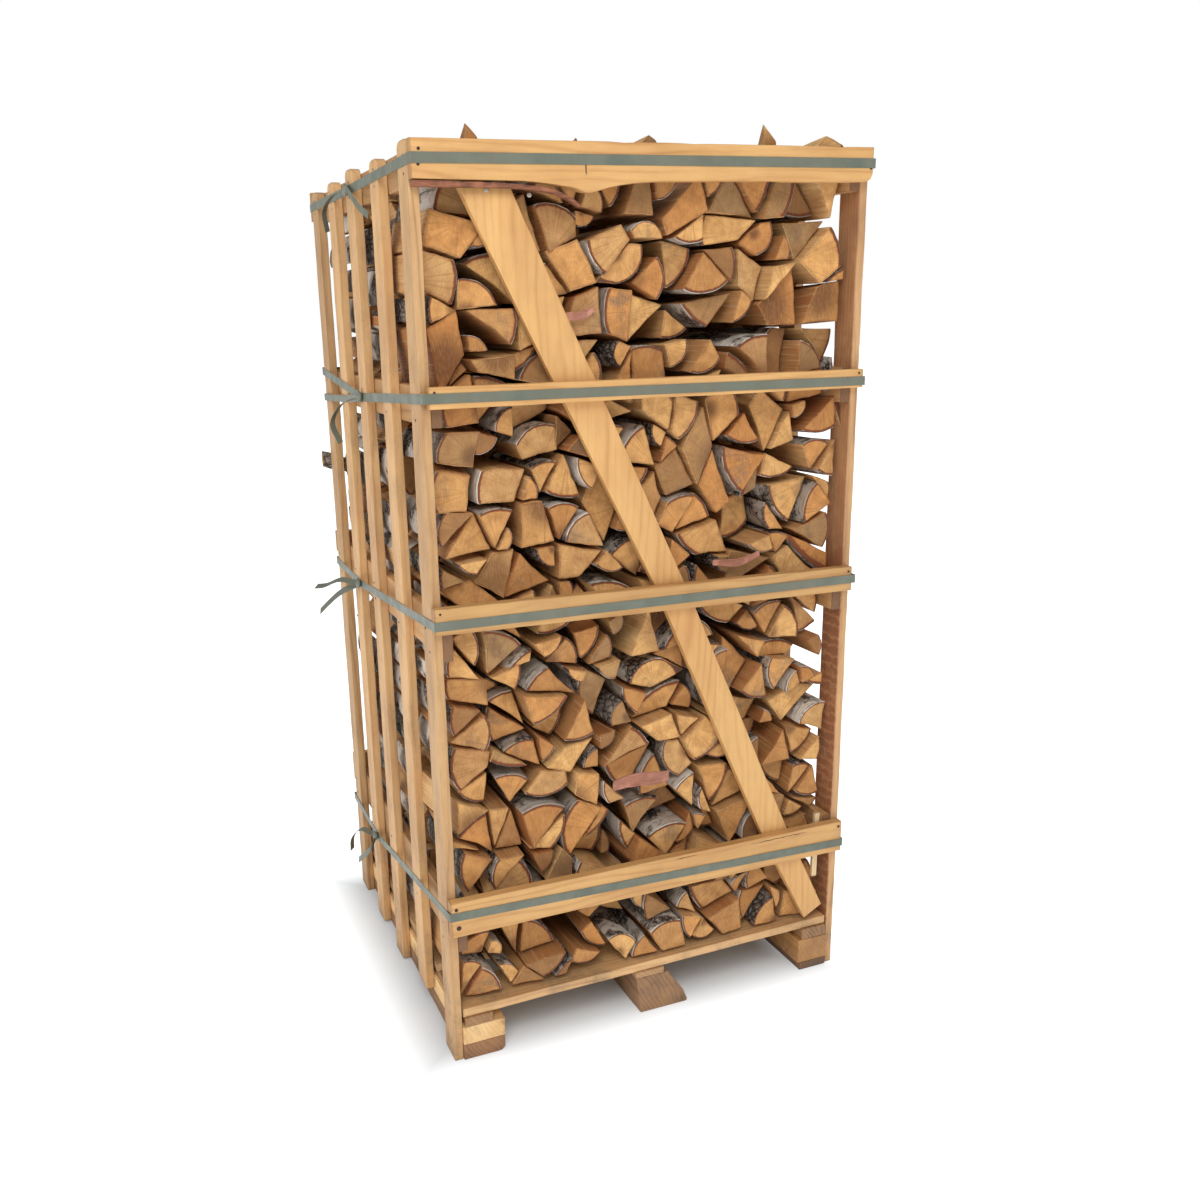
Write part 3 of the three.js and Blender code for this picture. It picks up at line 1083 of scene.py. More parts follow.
@dataclass
class LogOutline:
    """Cross-section of one split log, in the plane of its row: X right, Y up."""

    points: list[Vector]
    sides: list[Side]
    pith: Vector
    radius: float

    def middle(self) -> Vector:
        """The mean of the outline's points."""
        return sum(self.points, Vector((0.0, 0.0))) / len(self.points)

    def soften(self) -> None:
        """Rounds the sharp corners a little, as splitting and handling leave them."""
        before = [self.points[-1], *self.points[:-1]]
        after = [*self.points[1:], self.points[0]]
        self.points = [
            here * 0.5 + (one + two) * 0.25 for one, here, two in zip(before, self.points, after)]

    def turn(self, angle: float, shift: Vector) -> None:
        """Turns the outline about its middle, then moves it.

        Args:
            angle: the turn, in radians.
            shift: the move.
        """
        middle = self.middle()
        turned = Matrix.Rotation(angle, 2)
        self.points = [middle + turned @ (point - middle) + shift for point in self.points]
        self.pith = middle + turned @ (self.pith - middle) + shift


def area(points: Sequence[Vector]) -> float:
    """Signed area of a polygon, positive when its points run anticlockwise."""
    pairs = zip(points, [*points[1:], points[0]])
    return 0.5 * sum(a.x * b.y - b.x * a.y for a, b in pairs)


def inset(points: Sequence[Vector], gaps: Sequence[float]) -> list[Vector]:
    """Moves each side of a convex anticlockwise polygon inwards by its own gap.

    Args:
        points: the polygon's corners.
        gaps: how far each side moves, in the order of their first corners.

    Returns:
        The new corners, or nothing when a side would vanish.
    """
    count = len(points)
    lines = []
    for index, start in enumerate(points):
        along = (points[(index + 1) % count] - start).normalized()
        shift = Vector((-along.y, along.x)) * gaps[index]
        lines.append((start + shift, along))
    found = []
    for index in range(count):
        (here, first), (there, second) = lines[index - 1], lines[index]
        cross = first.x * second.y - first.y * second.x
        if abs(cross) < 0.05:
            found.append(there)
            continue
        offset = there - here
        found.append(here + first * ((offset.x * second.y - offset.y * second.x) / cross))
    for index in range(count):
        moved = found[(index + 1) % count] - found[index]
        if moved.dot(lines[index][1]) < 0.012:
            return []
    return found


def shares(length: float, step: float) -> list[float]:
    """Where to sample a side, as shares of its length: evenly, and once more near each corner.

    Args:
        length: the side's length.
        step: the usual spacing.

    Returns:
        The shares, from 0 up to just short of 1.
    """
    count = max(2, round(length / step))
    near = min(0.3 / count, 0.0022 / length)
    return [0.0, near, *[index / count for index in range(1, count)], 1.0 - near]


def arc_points(start: Vector, end: Vector, rise: float,
               step: float) -> tuple[list[Vector], Vector, float]:
    """Points of an arc from start up to, but without, end, bulging right of the chord.

    Args:
        start: the first point.
        end: the last point, left out.
        rise: how far the arc stands off the chord at its middle.
        step: the spacing of the points.

    Returns:
        The points, the arc's centre and its radius.
    """
    chord = end - start
    half = chord.length / 2
    radius = (half * half + rise * rise) / (2 * rise)
    out = Vector((chord.y, -chord.x)).normalized()
    centre = (start + end) / 2 - out * (radius - rise)
    angle = 2 * math.asin(min(1.0, half / radius))
    points = []
    for share in shares(angle * radius, step):
        turned = Matrix.Rotation(angle * share, 2)
        points.append(centre + turned @ (start - centre))
    return points, centre, radius


@dataclass
class LogRow:
    """One row of stacked split logs, from the deck to the brim."""

    crate: Crate
    name: str
    seed: int
    step: float
    rings: tuple[float, ...]
    toward_back: bool = False
    tips: tuple[tuple[tuple[float, float], ...], ...] = ()
    spacing: float = 0.095
    jitter: float = 0.34
    skipped: float = 0.55
    largest: float = 0.0083
    smallest: float = 0.0007
    tilt: float = 0.085
    loosest: float = 0.085
    bottom_zone: float = 0.07
    edge_zone: float = 0.09
    rng: random.Random = field(init=False)

    def __post_init__(self) -> None:
        """Starts the seeded random numbers, and reads the row's place."""
        self.rng = random.Random(self.seed)
        low, high = self.crate.span(f"log_row_{self.name}")
        self.near = low.y
        self.far = high.y

    def side_room(self, z: float) -> float:
        """How far the pile's side is from the posts' outer face at a height.

        Args:
            z: the height.

        Returns:
            The distance: more beside a rail than between two.
        """
        for level in LEVELS:
            low, high = self.crate.span(f"left_{level}_rail")
            if low.z - 0.035 < z < high.z + 0.035:
                return self.crate.rail_inner + 0.003
        return self.crate.slat + 0.007

    def seeds(self) -> list[Vector]:
        """Corner points of the packing: a jittered staggered grid with points on its edges.

        Returns:
            The points, from the deck to the brim.
        """
        bottom = self.crate.deck + 0.002
        top = self.crate.top - 0.024
        rows = round((top - bottom) / (self.spacing * 0.88))
        points = []
        for row in range(rows + 1):
            z = bottom + (top - bottom) * row / rows
            left = self.side_room(z)
            right = self.crate.width - left - self.rng.uniform(0.0, 0.008)
            count = round((right - left) / self.spacing) + row % 2
            for column in range(count + 1):
                x = left + (right - left) * column / count
                inside = 0 < column < count
                dx = self.rng.uniform(-self.jitter, self.jitter) * self.spacing if inside else 0.0
                dz = self.rng.uniform(-self.jitter, self.jitter) * self.spacing
                if row == 0:
                    dz = 0.0
                if row == rows:
                    dz = self.rng.uniform(-0.018, 0.014)
                points.append(Vector((x + dx, z + dz)))
        return points

    def cells(self) -> list[list[Vector]]:
        """Triangles and convex four-sided cells that fill the row.

        Returns:
            The cells' corners, anticlockwise.
        """
        points, _, faces, *_ = delaunay_2d_cdt(self.seeds(), [], [], 0, 1e-5)
        triangles = [list(face) for face in faces]
        shared: dict[tuple[int, int], list[int]] = {}
        for index, face in enumerate(triangles):
            for corner in range(3):
                edge = tuple(sorted((face[corner], face[(corner + 1) % 3])))
                shared.setdefault(edge, []).append(index)
        edges = [edge for edge, owners in shared.items() if len(owners) == 2]
        edges.sort(key=lambda edge: -(points[edge[0]] - points[edge[1]]).length)
        used: set[int] = set()
        cells = []
        for edge in edges:
            owners = shared[edge]
            if used & set(owners) or self.rng.random() < self.skipped:
                continue
            quad = self.joined(triangles[owners[0]], triangles[owners[1]], edge)
            corners = [points[index] for index in quad]
            if self.well_shaped(corners) and abs(area(corners)) < self.largest:
                used |= set(owners)
                cells.append(corners)
        for index, face in enumerate(triangles):
            if index not in used:
                cells.append([points[corner] for corner in face])
        cells += [[Vector(corner) for corner in tip] for tip in self.tips]
        cells = [cell for cell in cells if abs(area(cell)) > self.smallest]
        return [cell if area(cell) > 0 else cell[::-1] for cell in cells]

    @staticmethod
    def joined(first: list[int], second: list[int], edge: tuple[int, int]) -> list[int]:
        """The four corners, in order, of two triangles that share an edge.

        Args:
            first: the first triangle's corners.
            second: the second triangle's corners.
            edge: the two corners that they share.

        Returns:
            The four corners.
        """
        tip = next(corner for corner in second if corner not in edge)
        for corner in range(3):
            pair = {first[corner], first[(corner + 1) % 3]}
            if pair == set(edge):
                return first[: corner + 1] + [tip] + first[corner + 1:]
        return first

    @staticmethod
    def well_shaped(corners: list[Vector]) -> bool:
        """Whether a four-sided cell is convex, with no corner too flat or too sharp.

        Args:
            corners: the cell's corners, in order.

        Returns:
            Whether it can be one log.
        """
        turn = 1 if area(corners) > 0 else -1
        for index, here in enumerate(corners):
            before = corners[index - 1] - here
            after = corners[(index + 1) % 4] - here
            cross = (after.x * before.y - after.y * before.x) * turn
            angle = math.degrees(math.atan2(cross, after.dot(before)))
            if not 40 < angle < 150:
                return False
        return True

    def bark_side(self, cell: list[Vector], lengths: list[float]) -> int | None:
        """Which of a cell's sides is bark, if any: a long one, and often one on the pile's side.

        Args:
            cell: the cell's corners.
            lengths: the lengths of its sides.

        Returns:
            The side's number, or nothing for a log without bark.
        """
        count = len(cell)
        for index in range(count):
            middle = (cell[index] + cell[(index + 1) % count]) / 2
            outer = min(middle.x, self.crate.width - middle.x)
            if outer < 0.05 and self.rng.random() < 0.55:
                return index
        if self.rng.random() < (0.1 if count == 3 else 0.4):
            return None
        weights = [length ** 1.6 for length in lengths]
        return self.rng.choices(range(count), weights)[0]

    def outline(self, cell: list[Vector]) -> LogOutline | None:
        """Turns a cell into a log's cross-section.

        Args:
            cell: the corners of the space that the log fills, anticlockwise.

        Returns:
            The cross-section, or nothing when the space is too small.
        """
        count = len(cell)
        lengths = [(cell[(i + 1) % count] - cell[i]).length for i in range(count)]
        bark = self.bark_side(cell, lengths)
        rise = 0.0
        gap = 0.001 + abs(self.rng.gauss(0, 0.0017))
        gaps = [gap + self.rng.uniform(0.0, 0.0028) for _ in range(count)]
        if bark is not None:
            tip = cell[(bark + 2) % count]
            reach = ((cell[bark] - tip).length + (cell[(bark + 1) % count] - tip).length) / 2
            radius = max(reach * self.rng.uniform(0.8, 1.15), lengths[bark] * 0.58)
            rise = radius - math.sqrt(radius * radius - lengths[bark] ** 2 / 4)
            gaps[bark] += rise * 0.85
        corners = inset(cell, gaps)
        if not corners:
            corners = inset(cell, [gap * 0.35 for gap in gaps])
            rise *= 0.35
        if not corners or area(corners) < 0.0005:
            return None
        points: list[Vector] = []
        sides: list[Side] = []
        pith = sum(corners, Vector((0.0, 0.0))) / count
        pith += Vector((self.rng.uniform(-1, 1), self.rng.uniform(-1, 1))) * 0.05
        rim = 0.17
        for index, start in enumerate(corners):
            end = corners[(index + 1) % count]
            if index == bark and rise > 0.001:
                bend = (end - start).length / lengths[index]
                made, pith, rim = arc_points(start, end, rise * bend, self.step)
                kind = Side.BARK
            else:
                made = self.split_line(start, end)
                kind = Side.SPLIT
            points += made
            sides += [kind] * len(made)
        shape = LogOutline(points, sides, pith, rim)
        shape.soften()
        shift = Vector((self.rng.gauss(0, 0.0012), self.rng.gauss(0, 0.0012)))
        shape.turn(self.rng.gauss(0, 0.06), shift)
        return shape

    def split_line(self, start: Vector, end: Vector) -> list[Vector]:
        """Points of a split side, which bows a little and steps where the wood tore.

        Args:
            start: the side's first corner.
            end: its last corner, left out.

        Returns:
            The points.
        """
        across = Vector((-(end - start).y, (end - start).x))
        bow = self.rng.gauss(0, 0.014)
        phase = self.rng.uniform(0, 6.28)
        made = []
        for share in shares((end - start).length, self.step):
            off = bow * math.sin(math.pi * share)
            off += 0.007 * math.sin(phase + share * 11.0) * math.sin(math.pi * share)
            made.append(start.lerp(end, share) + across * off)
        return made


@dataclass
class LogMesh:
    """Gathers many logs into one mesh, with the attributes that their materials read."""

    crate: Crate
    points: list[Vector] = field(default_factory=list)
    faces: list[tuple[int, ...]] = field(default_factory=list)
    kinds: list[int] = field(default_factory=list)
    place: list[float] = field(default_factory=list)
    ring: list[float] = field(default_factory=list)
    tone: list[float] = field(default_factory=list)
    rim: list[float] = field(default_factory=list)
    bedding: float = 0.003
    splinter_reach: float = 0.056
    splinter_length: float = 0.05
    ceiling: float = field(init=False)

    def __post_init__(self) -> None:
        """Reads how high the load may stand."""
        self.ceiling = self.crate.span("log_row_front")[1].z - 0.0005

    def vertex(self, point: Vector, place: Sequence[float], ring: Sequence[float],
               tone: Sequence[float], rim: float) -> int:
        """Adds one vertex with its attributes, and returns its number.

        Args:
            point: where it is, from the crate's corner.
            place: where it is on its own log.
            ring: how far it is from the pith, as a share of the radius.
            tone: the log's three random numbers.
            rim: 1 at the edge of an end, and 0 at its middle.

        Returns:
            The vertex's number.
        """
        self.points.append(self.crate.at(point[0], point[1], min(point[2], self.ceiling)))
        self.place += place
        self.ring += ring
        self.tone += tone
        self.rim.append(rim)
        return len(self.points) - 1

    def add_log(self, row: LogRow, outline: LogOutline, flush: bool = False) -> None:
        """Adds one log, laid from the front to the back of its row.

        Args:
            row: the row that it lies in.
            outline: its cross-section.
            flush: whether its end lies right at the row's face.
        """
        rng = row.rng
        middle = outline.middle()
        tone = [rng.random(), rng.random(), rng.random()]
        seed = Vector([rng.uniform(0, 60) for _ in range(3)])
        near_tilt = Vector((rng.gauss(0, row.tilt), rng.gauss(0, row.tilt)))
        far_tilt = Vector((rng.gauss(0, row.tilt), rng.gauss(0, row.tilt)))
        askew = 3.0 if rng.random() < 0.2 else 1.0
        drift = Vector((rng.gauss(0, 0.007), rng.gauss(0, 0.004))) * askew
        twist = rng.gauss(0, 0.04)
        taper = 0.4 if flush else rng.uniform(0.94, 1.0)
        reach = max((point - middle).length for point in outline.points)
        loose = min(row.loosest, abs(rng.gauss(0, 0.042 if rng.random() < 0.25 else 0.016)))
        margins = [self.bedding + tilt.length * reach for tilt in (near_tilt, far_tilt)]
        bottom = middle.y < self.crate.deck + row.bottom_zone
        edge = min(middle.x, self.crate.width - middle.x) < row.edge_zone
        held = 0.0 if flush or bottom else 0.25 if edge else 1.0
        open_end = 1 if row.toward_back else 0
        margins[open_end] += loose * held
        if bottom and middle.x < 0.84:
            margins[open_end] -= 0.012
        start = row.near + margins[0]
        length = row.far - margins[1] - start
        if flush and reach < self.splinter_reach:
            length = self.splinter_length
        loops = []
        for share in row.rings:
            turned = Matrix.Rotation(twist * share, 2)
            worn = 0.0016 if share in (0.0, 1.0) else 0.0
            loop = []
            for point, kind in zip(outline.points, outline.sides):
                local = turned @ ((point - middle) * (1 + (taper - 1) * share))
                along = share * length
                rough = self.roughness(point, along, seed, kind) - worn
                flat = middle + drift * (share - 0.25) + local + local.normalized() * rough
                lean = near_tilt.dot(local) * (1 - share) + far_tilt.dot(local) * share
                away = point - outline.pith
                scaled = away / outline.radius
                loop.append(self.vertex(
                    Vector((flat.x, start + along + lean, flat.y)),
                    (away.x, away.y, along), (scaled.x, scaled.y, 0.0), tone, 1.0))
            loops.append(loop)
        self.tube(loops, outline.sides)
        self.cap(outline, loops[0], tone)
        self.cap(outline, loops[-1][::-1], tone)

    def tube(self, loops: Sequence[Sequence[int]], sides: Sequence[Side]) -> None:
        """Joins each loop of vertices to the next.

        Args:
            loops: the loops, all with the same number of vertices.
            sides: what the side after each vertex shows.
        """
        count = len(sides)
        for near, far in zip(loops, loops[1:]):
            for index, side in enumerate(sides):
                after = (index + 1) % count
                self.faces.append((near[after], near[index], far[index], far[after]))
                self.kinds.append(side.value)

    @staticmethod
    def roughness(point: Vector, along: float, seed: Vector, kind: Side) -> float:
        """How far a log's surface stands off its plain outline at one place.

        Args:
            point: the place in the outline.
            along: how far it is along the log.
            seed: the log's own shift of the pattern.
            kind: what the side shows.

        Returns:
            The distance outwards.
        """
        place = Vector((point.x * 24, point.y * 24, along * 5)) + seed
        fine = Vector((point.x * 90, point.y * 90, along * 12)) + seed
        if kind is Side.BARK:
            return noise.noise(place) * 0.0014 + noise.noise(fine * 1.4) * 0.001
        return noise.noise(place) * 0.0022 + noise.noise(fine) * 0.0013 - 0.0006

    def cap(self, outline: LogOutline, loop: list[int], tone: list[float]) -> None:
        """Closes one end of a log with a fan round its middle.

        Args:
            outline: the log's cross-section.
            loop: the vertices round the end, in order.
            tone: the log's three random numbers.
        """
        rim_points = [self.points[index] for index in loop]
        centre = sum(rim_points, Vector()) / len(rim_points) - self.crate.corner
        away = outline.middle() - outline.pith
        scaled = away / outline.radius
        along = self.place[loop[0] * 3 + 2]
        hub = self.vertex(centre, (away.x, away.y, along), (scaled.x, scaled.y, 0.0), tone, 0.0)
        for index, corner in enumerate(loop):
            self.faces.append((hub, corner, loop[(index + 1) % len(loop)]))
            self.kinds.append(Side.END.value)

    def build(self, name: str, materials: Sequence[bpy.types.Material]) -> bpy.types.Mesh:
        """Makes the Blender mesh.

        Args:
            name: the mesh's name.
            materials: its materials, in the order of Side.

        Returns:
            The mesh.
        """
        mesh = bpy.data.meshes.new(name)
        mesh.from_pydata(self.points, [], self.faces)
        for material in materials:
            mesh.materials.append(material)
        mesh.polygons.foreach_set("material_index", self.kinds)
        for key, values in (("place", self.place), ("ring", self.ring), ("tone", self.tone)):
            layer = mesh.attributes.new(key, "FLOAT_VECTOR", "POINT")
            layer.data.foreach_set("vector", values)
        layer = mesh.attributes.new("rim", "FLOAT", "POINT")
        layer.data.foreach_set("value", self.rim)
        mesh.update()
        smooth(mesh, 35.0)
        return mesh


@dataclass
class Firewood:
    """The whole load: three rows of split logs."""

    crate: Crate
    materials: list[bpy.types.Material]

    def build(self) -> None:
        """Packs and makes each row."""
        fine = (0.0, 0.006, 0.05, 0.14, 0.3, 0.5, 0.72, 0.9, 0.994, 1.0)
        coarse = (0.0, 0.01, 0.25, 0.5, 0.75, 0.99, 1.0)
        tips = (
            ((0.1, 1.875), (0.165, 1.875), (0.146, 1.926), (0.12, 1.957)),
            ((0.31, 1.875), (0.38, 1.875), (0.338, 1.947)),
            ((0.4, 1.875), (0.57, 1.875), (0.538, 1.934), (0.517, 1.951)),
            ((0.768, 1.875), (0.812, 1.875), (0.798, 1.934), (0.752, 1.979)),
            ((0.82, 1.875), (0.97, 1.875), (0.962, 1.938), (0.905, 1.957)),
        )
        rows = (
            LogRow(self.crate, "front", 5, 0.009, fine, tips=tips),
            LogRow(self.crate, "middle", 23, 0.016, coarse),
            LogRow(self.crate, "back", 41, 0.009, fine, toward_back=True),
        )
        for row in rows:
            self.build_row(row)
        self.stray_log()

    def stray_log(self) -> None:
        """A thin round log with its bark on, poking out past the back left post."""
        rng = random.Random(8)
        radius, count, squash = 0.021, 16, 0.54
        ring = [Vector((math.cos(i * 0.3927), math.sin(i * 0.3927))) for i in range(count)]
        outline = LogOutline([p * radius * rng.uniform(0.9, 1.1) for p in ring],
                             [Side.BARK] * count, Vector((0.0, 0.0)), radius)
        gathered = LogMesh(self.crate)
        loops = []
        for along in (0.0, 0.002, 0.02, 0.04, 0.06, 0.08, 0.098, 0.1):
            size = 0.94 if along in (0.0, 0.1) else 1.0 + 0.1 * math.sin(along * 90)
            place = Vector((-0.02 + along * 0.95, 0.9402, 1.245 - along * 0.3))
            loops.append([
                gathered.vertex(place + Vector((0, p.x * size * squash, p.y * size)),
                                (p.x, p.y, along), (p.x / radius, p.y / radius, 0.0),
                                (0.3, 0.95, 0.6), 1.0)
                for p in outline.points])
        gathered.tube(loops[::-1], outline.sides)
        gathered.cap(outline, loops[0][::-1], [0.3, 0.2, 0.6])
        gathered.cap(outline, loops[-1], [0.3, 0.2, 0.6])
        new_piece("stray_bark_log", gathered.build("stray_bark_log", self.materials))

    def build_row(self, row: LogRow) -> None:
        """Makes one row's logs as four joined pieces, one from each rail level to the next.

        Args:
            row: the row.
        """
        brinks = [self.crate.span(f"left_{level}_rail")[1].z for level in ("upper", "lower", "bottom")]
        tiers = {level: LogMesh(self.crate) for level in LEVELS}
        for cell in row.cells():
            outline = row.outline(cell)
            if outline is None:
                continue
            height = outline.middle().y
            level = LEVELS[sum(height < brink for brink in brinks)]
            tiers[level].add_log(row, outline, height > self.crate.top - 0.03)
        for level, tier in tiers.items():
            name = f"{row.name}_{level}_split_logs"
            new_piece(name, tier.build(name, self.materials), [f"log_row_{row.name}"])


# Straps, bark strip and small things


@dataclass
class Strapping:
    """The four straps, kept in their CAD shape."""

    effects: Effects

    def build(self) -> None:
        """Gives every strap its plastic."""
        material = StrapPlastic().build(self.effects)
        for level in LEVELS:
            self.dress(f"{level}_strap", material)

    @staticmethod
    def dress(node: str, material: bpy.types.Material) -> None:
        """Puts a material on a kept CAD node.

        Args:
            node: the CAD node.
            material: its material.
        """
        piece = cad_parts[node]
        piece.data.materials.clear()
        piece.data.materials.append(material)
        log.info("%s: kept from CAD", node)


@dataclass
class Hardware:
    """Nail heads at every crossing, and the two screws at the top of the front brace."""

    crate: Crate
    seed: int = 3
    sides: int = 12
    points: list[Vector] = field(default_factory=list)
    faces: list[tuple[int, ...]] = field(default_factory=list)

    def build(self) -> None:
        """Makes the nails, then the screws."""
        rng = random.Random(self.seed)
        for side in SIDES:
            outward = Vector((-1 if side == "left" else 1, 0, 0))
            slats = [f"{side}_front_corner_post", f"{side}_back_corner_post"]
            slats += [f"{side}_slat_{number}" for number in (1, 2, 3)]
            for slat in slats:
                low, high = self.crate.span(slat)
                x = low.x if side == "left" else high.x
                for level in LEVELS:
                    under, over = self.crate.span(f"{side}_{level}_rail")
                    for share in (0.24, 0.72):
                        y = low.y + (high.y - low.y) * rng.uniform(0.25, 0.75)
                        z = under.z + (over.z - under.z) * (share + rng.uniform(-0.06, 0.06))
                        self.disc(Vector((x, y, z)), outward, 0.0026, 0.0007)
        heads = (
            (0.016, 1.894, 0.003), (0.014, 1.868, 0.003), (0.99, 1.884, 0.003),
            (0.023, 1.467, 0.0025), (0.985, 1.467, 0.0025), (0.012, 1.037, 0.0025),
            (0.982, 1.023, 0.0025), (0.014, 0.384, 0.004), (0.018, 0.34, 0.0055),
            (0.988, 0.385, 0.0035),
        )
        for face, sign in (("front", -1), ("back", 1)):
            low, high = self.crate.span(f"{face}_top_board")
            y = low.y if sign < 0 else high.y
            for x, z, radius in heads:
                place = Vector((x if sign < 0 else self.crate.width - x, y, z))
                self.disc(place, Vector((0, sign, 0)), radius, 0.0009)
        self.finish("nail_heads", Steel("nail_steel", srgb(70, 60, 54), 0.6))
        for x, z in ((0.148, 1.829), (0.233, 1.822)):
            self.disc(Vector((x, 0.0, z)), Vector((0, -1, 0)), 0.0046, 0.0016)
        self.finish("brace_screws", Steel("screw_zinc", srgb(196, 190, 176), 0.35))

    def disc(self, place: Vector, outward: Vector, radius: float, rise: float) -> None:
        """Adds one low domed head, standing off a face.

        Args:
            place: its middle on the face, from the crate's corner.
            outward: the way that the face looks.
            radius: its radius.
            rise: how far it stands off.
        """
        turned = outward.to_track_quat("Z", "Y").to_matrix()
        base = len(self.points)
        rings = (
            (radius, -0.001), (radius, rise * 0.6), (radius * 0.6, rise),
            (radius * 0.2, rise * 0.7))
        for size, height in rings:
            for step in range(self.sides):
                angle = math.tau * step / self.sides
                local = Vector((math.cos(angle) * size, math.sin(angle) * size, height))
                self.points.append(self.crate.at(*(place + turned @ local)))
        for ring in range(len(rings) - 1):
            for step in range(self.sides):
                one = base + ring * self.sides + step
                two = base + ring * self.sides + (step + 1) % self.sides
                self.faces.append((one, two, two + self.sides, one + self.sides))
        last = base + (len(rings) - 1) * self.sides
        self.faces.append(tuple(range(last, last + self.sides)))
        self.faces.append(tuple(reversed(range(base, base + self.sides))))

    def finish(self, name: str, steel: Steel) -> None:
        """Makes a piece of the heads gathered so far, and starts afresh.

        Args:
            name: the piece's name.
            steel: its finish.
        """
        mesh = bpy.data.meshes.new(name)
        mesh.from_pydata(self.points, [], self.faces)
        mesh.materials.append(steel.build())
        smooth(mesh, 40.0)
        new_piece(name, mesh)
        self.points, self.faces = [], []


@dataclass(frozen=True)
class BarkCurl:
    """One loose curl of bark, caught between log ends."""

    name: str
    place: tuple[float, float, float]
    length: float
    width: float
    lean: float
    coil: float = 0.013
    thick: float = 0.0012

    def build(self, crate: Crate, material: bpy.types.Material, seed: int) -> None:
        """Makes the curl as a thin shell, rolled across its length and ragged at its edges.

        Args:
            crate: the crate that it lies in.
            material: its bark.
            seed: what sets its ragged edge.
        """
        rng = random.Random(seed)
        along = Vector((math.cos(self.lean), 0.0, math.sin(self.lean)))
        up = Vector((-math.sin(self.lean), 0.0, math.cos(self.lean)))
        steps, turns = 16, 8
        points: list[Vector] = []
        for layer in (0.0, self.thick):
            for i in range(steps + 1):
                share = i / steps
                wide = self.width * (0.55 + 0.45 * math.sin(math.pi * share))
                wide *= 1 + rng.uniform(-0.12, 0.12)
                wave = 0.006 * math.sin(share * 5.0 + seed)
                for j in range(turns + 1):
                    angle = (j / turns - 0.35) * wide / self.coil
                    out = (self.coil - layer) * math.sin(angle)
                    rise = (self.coil - layer) * (1 - math.cos(angle)) + layer
                    middle = along * (share - 0.5) * self.length + up * (out + wave)
                    points.append(crate.at(*(Vector(self.place) + middle - Vector((0, rise, 0)))))
        grid = (turns + 1) * (steps + 1)
        faces = []
        for i in range(steps):
            for j in range(turns):
                a = i * (turns + 1) + j
                quad = (a, a + 1, a + turns + 2, a + turns + 1)
                faces.append(quad)
                faces.append(tuple(index + grid for index in reversed(quad)))
        rim = list(range(turns)) + [i * (turns + 1) + turns for i in range(steps)]
        rim += [grid - 1 - j for j in range(turns)] + [(steps - i) * (turns + 1) for i in range(steps)]
        for one, two in zip(rim, [*rim[1:], rim[0]]):
            faces.append((two, one, one + grid, two + grid))
        mesh = bpy.data.meshes.new(self.name)
        mesh.from_pydata(points, [], faces)
        mesh.materials.append(material)
        smooth(mesh, 50.0)
        new_piece(self.name, mesh)


# The studio


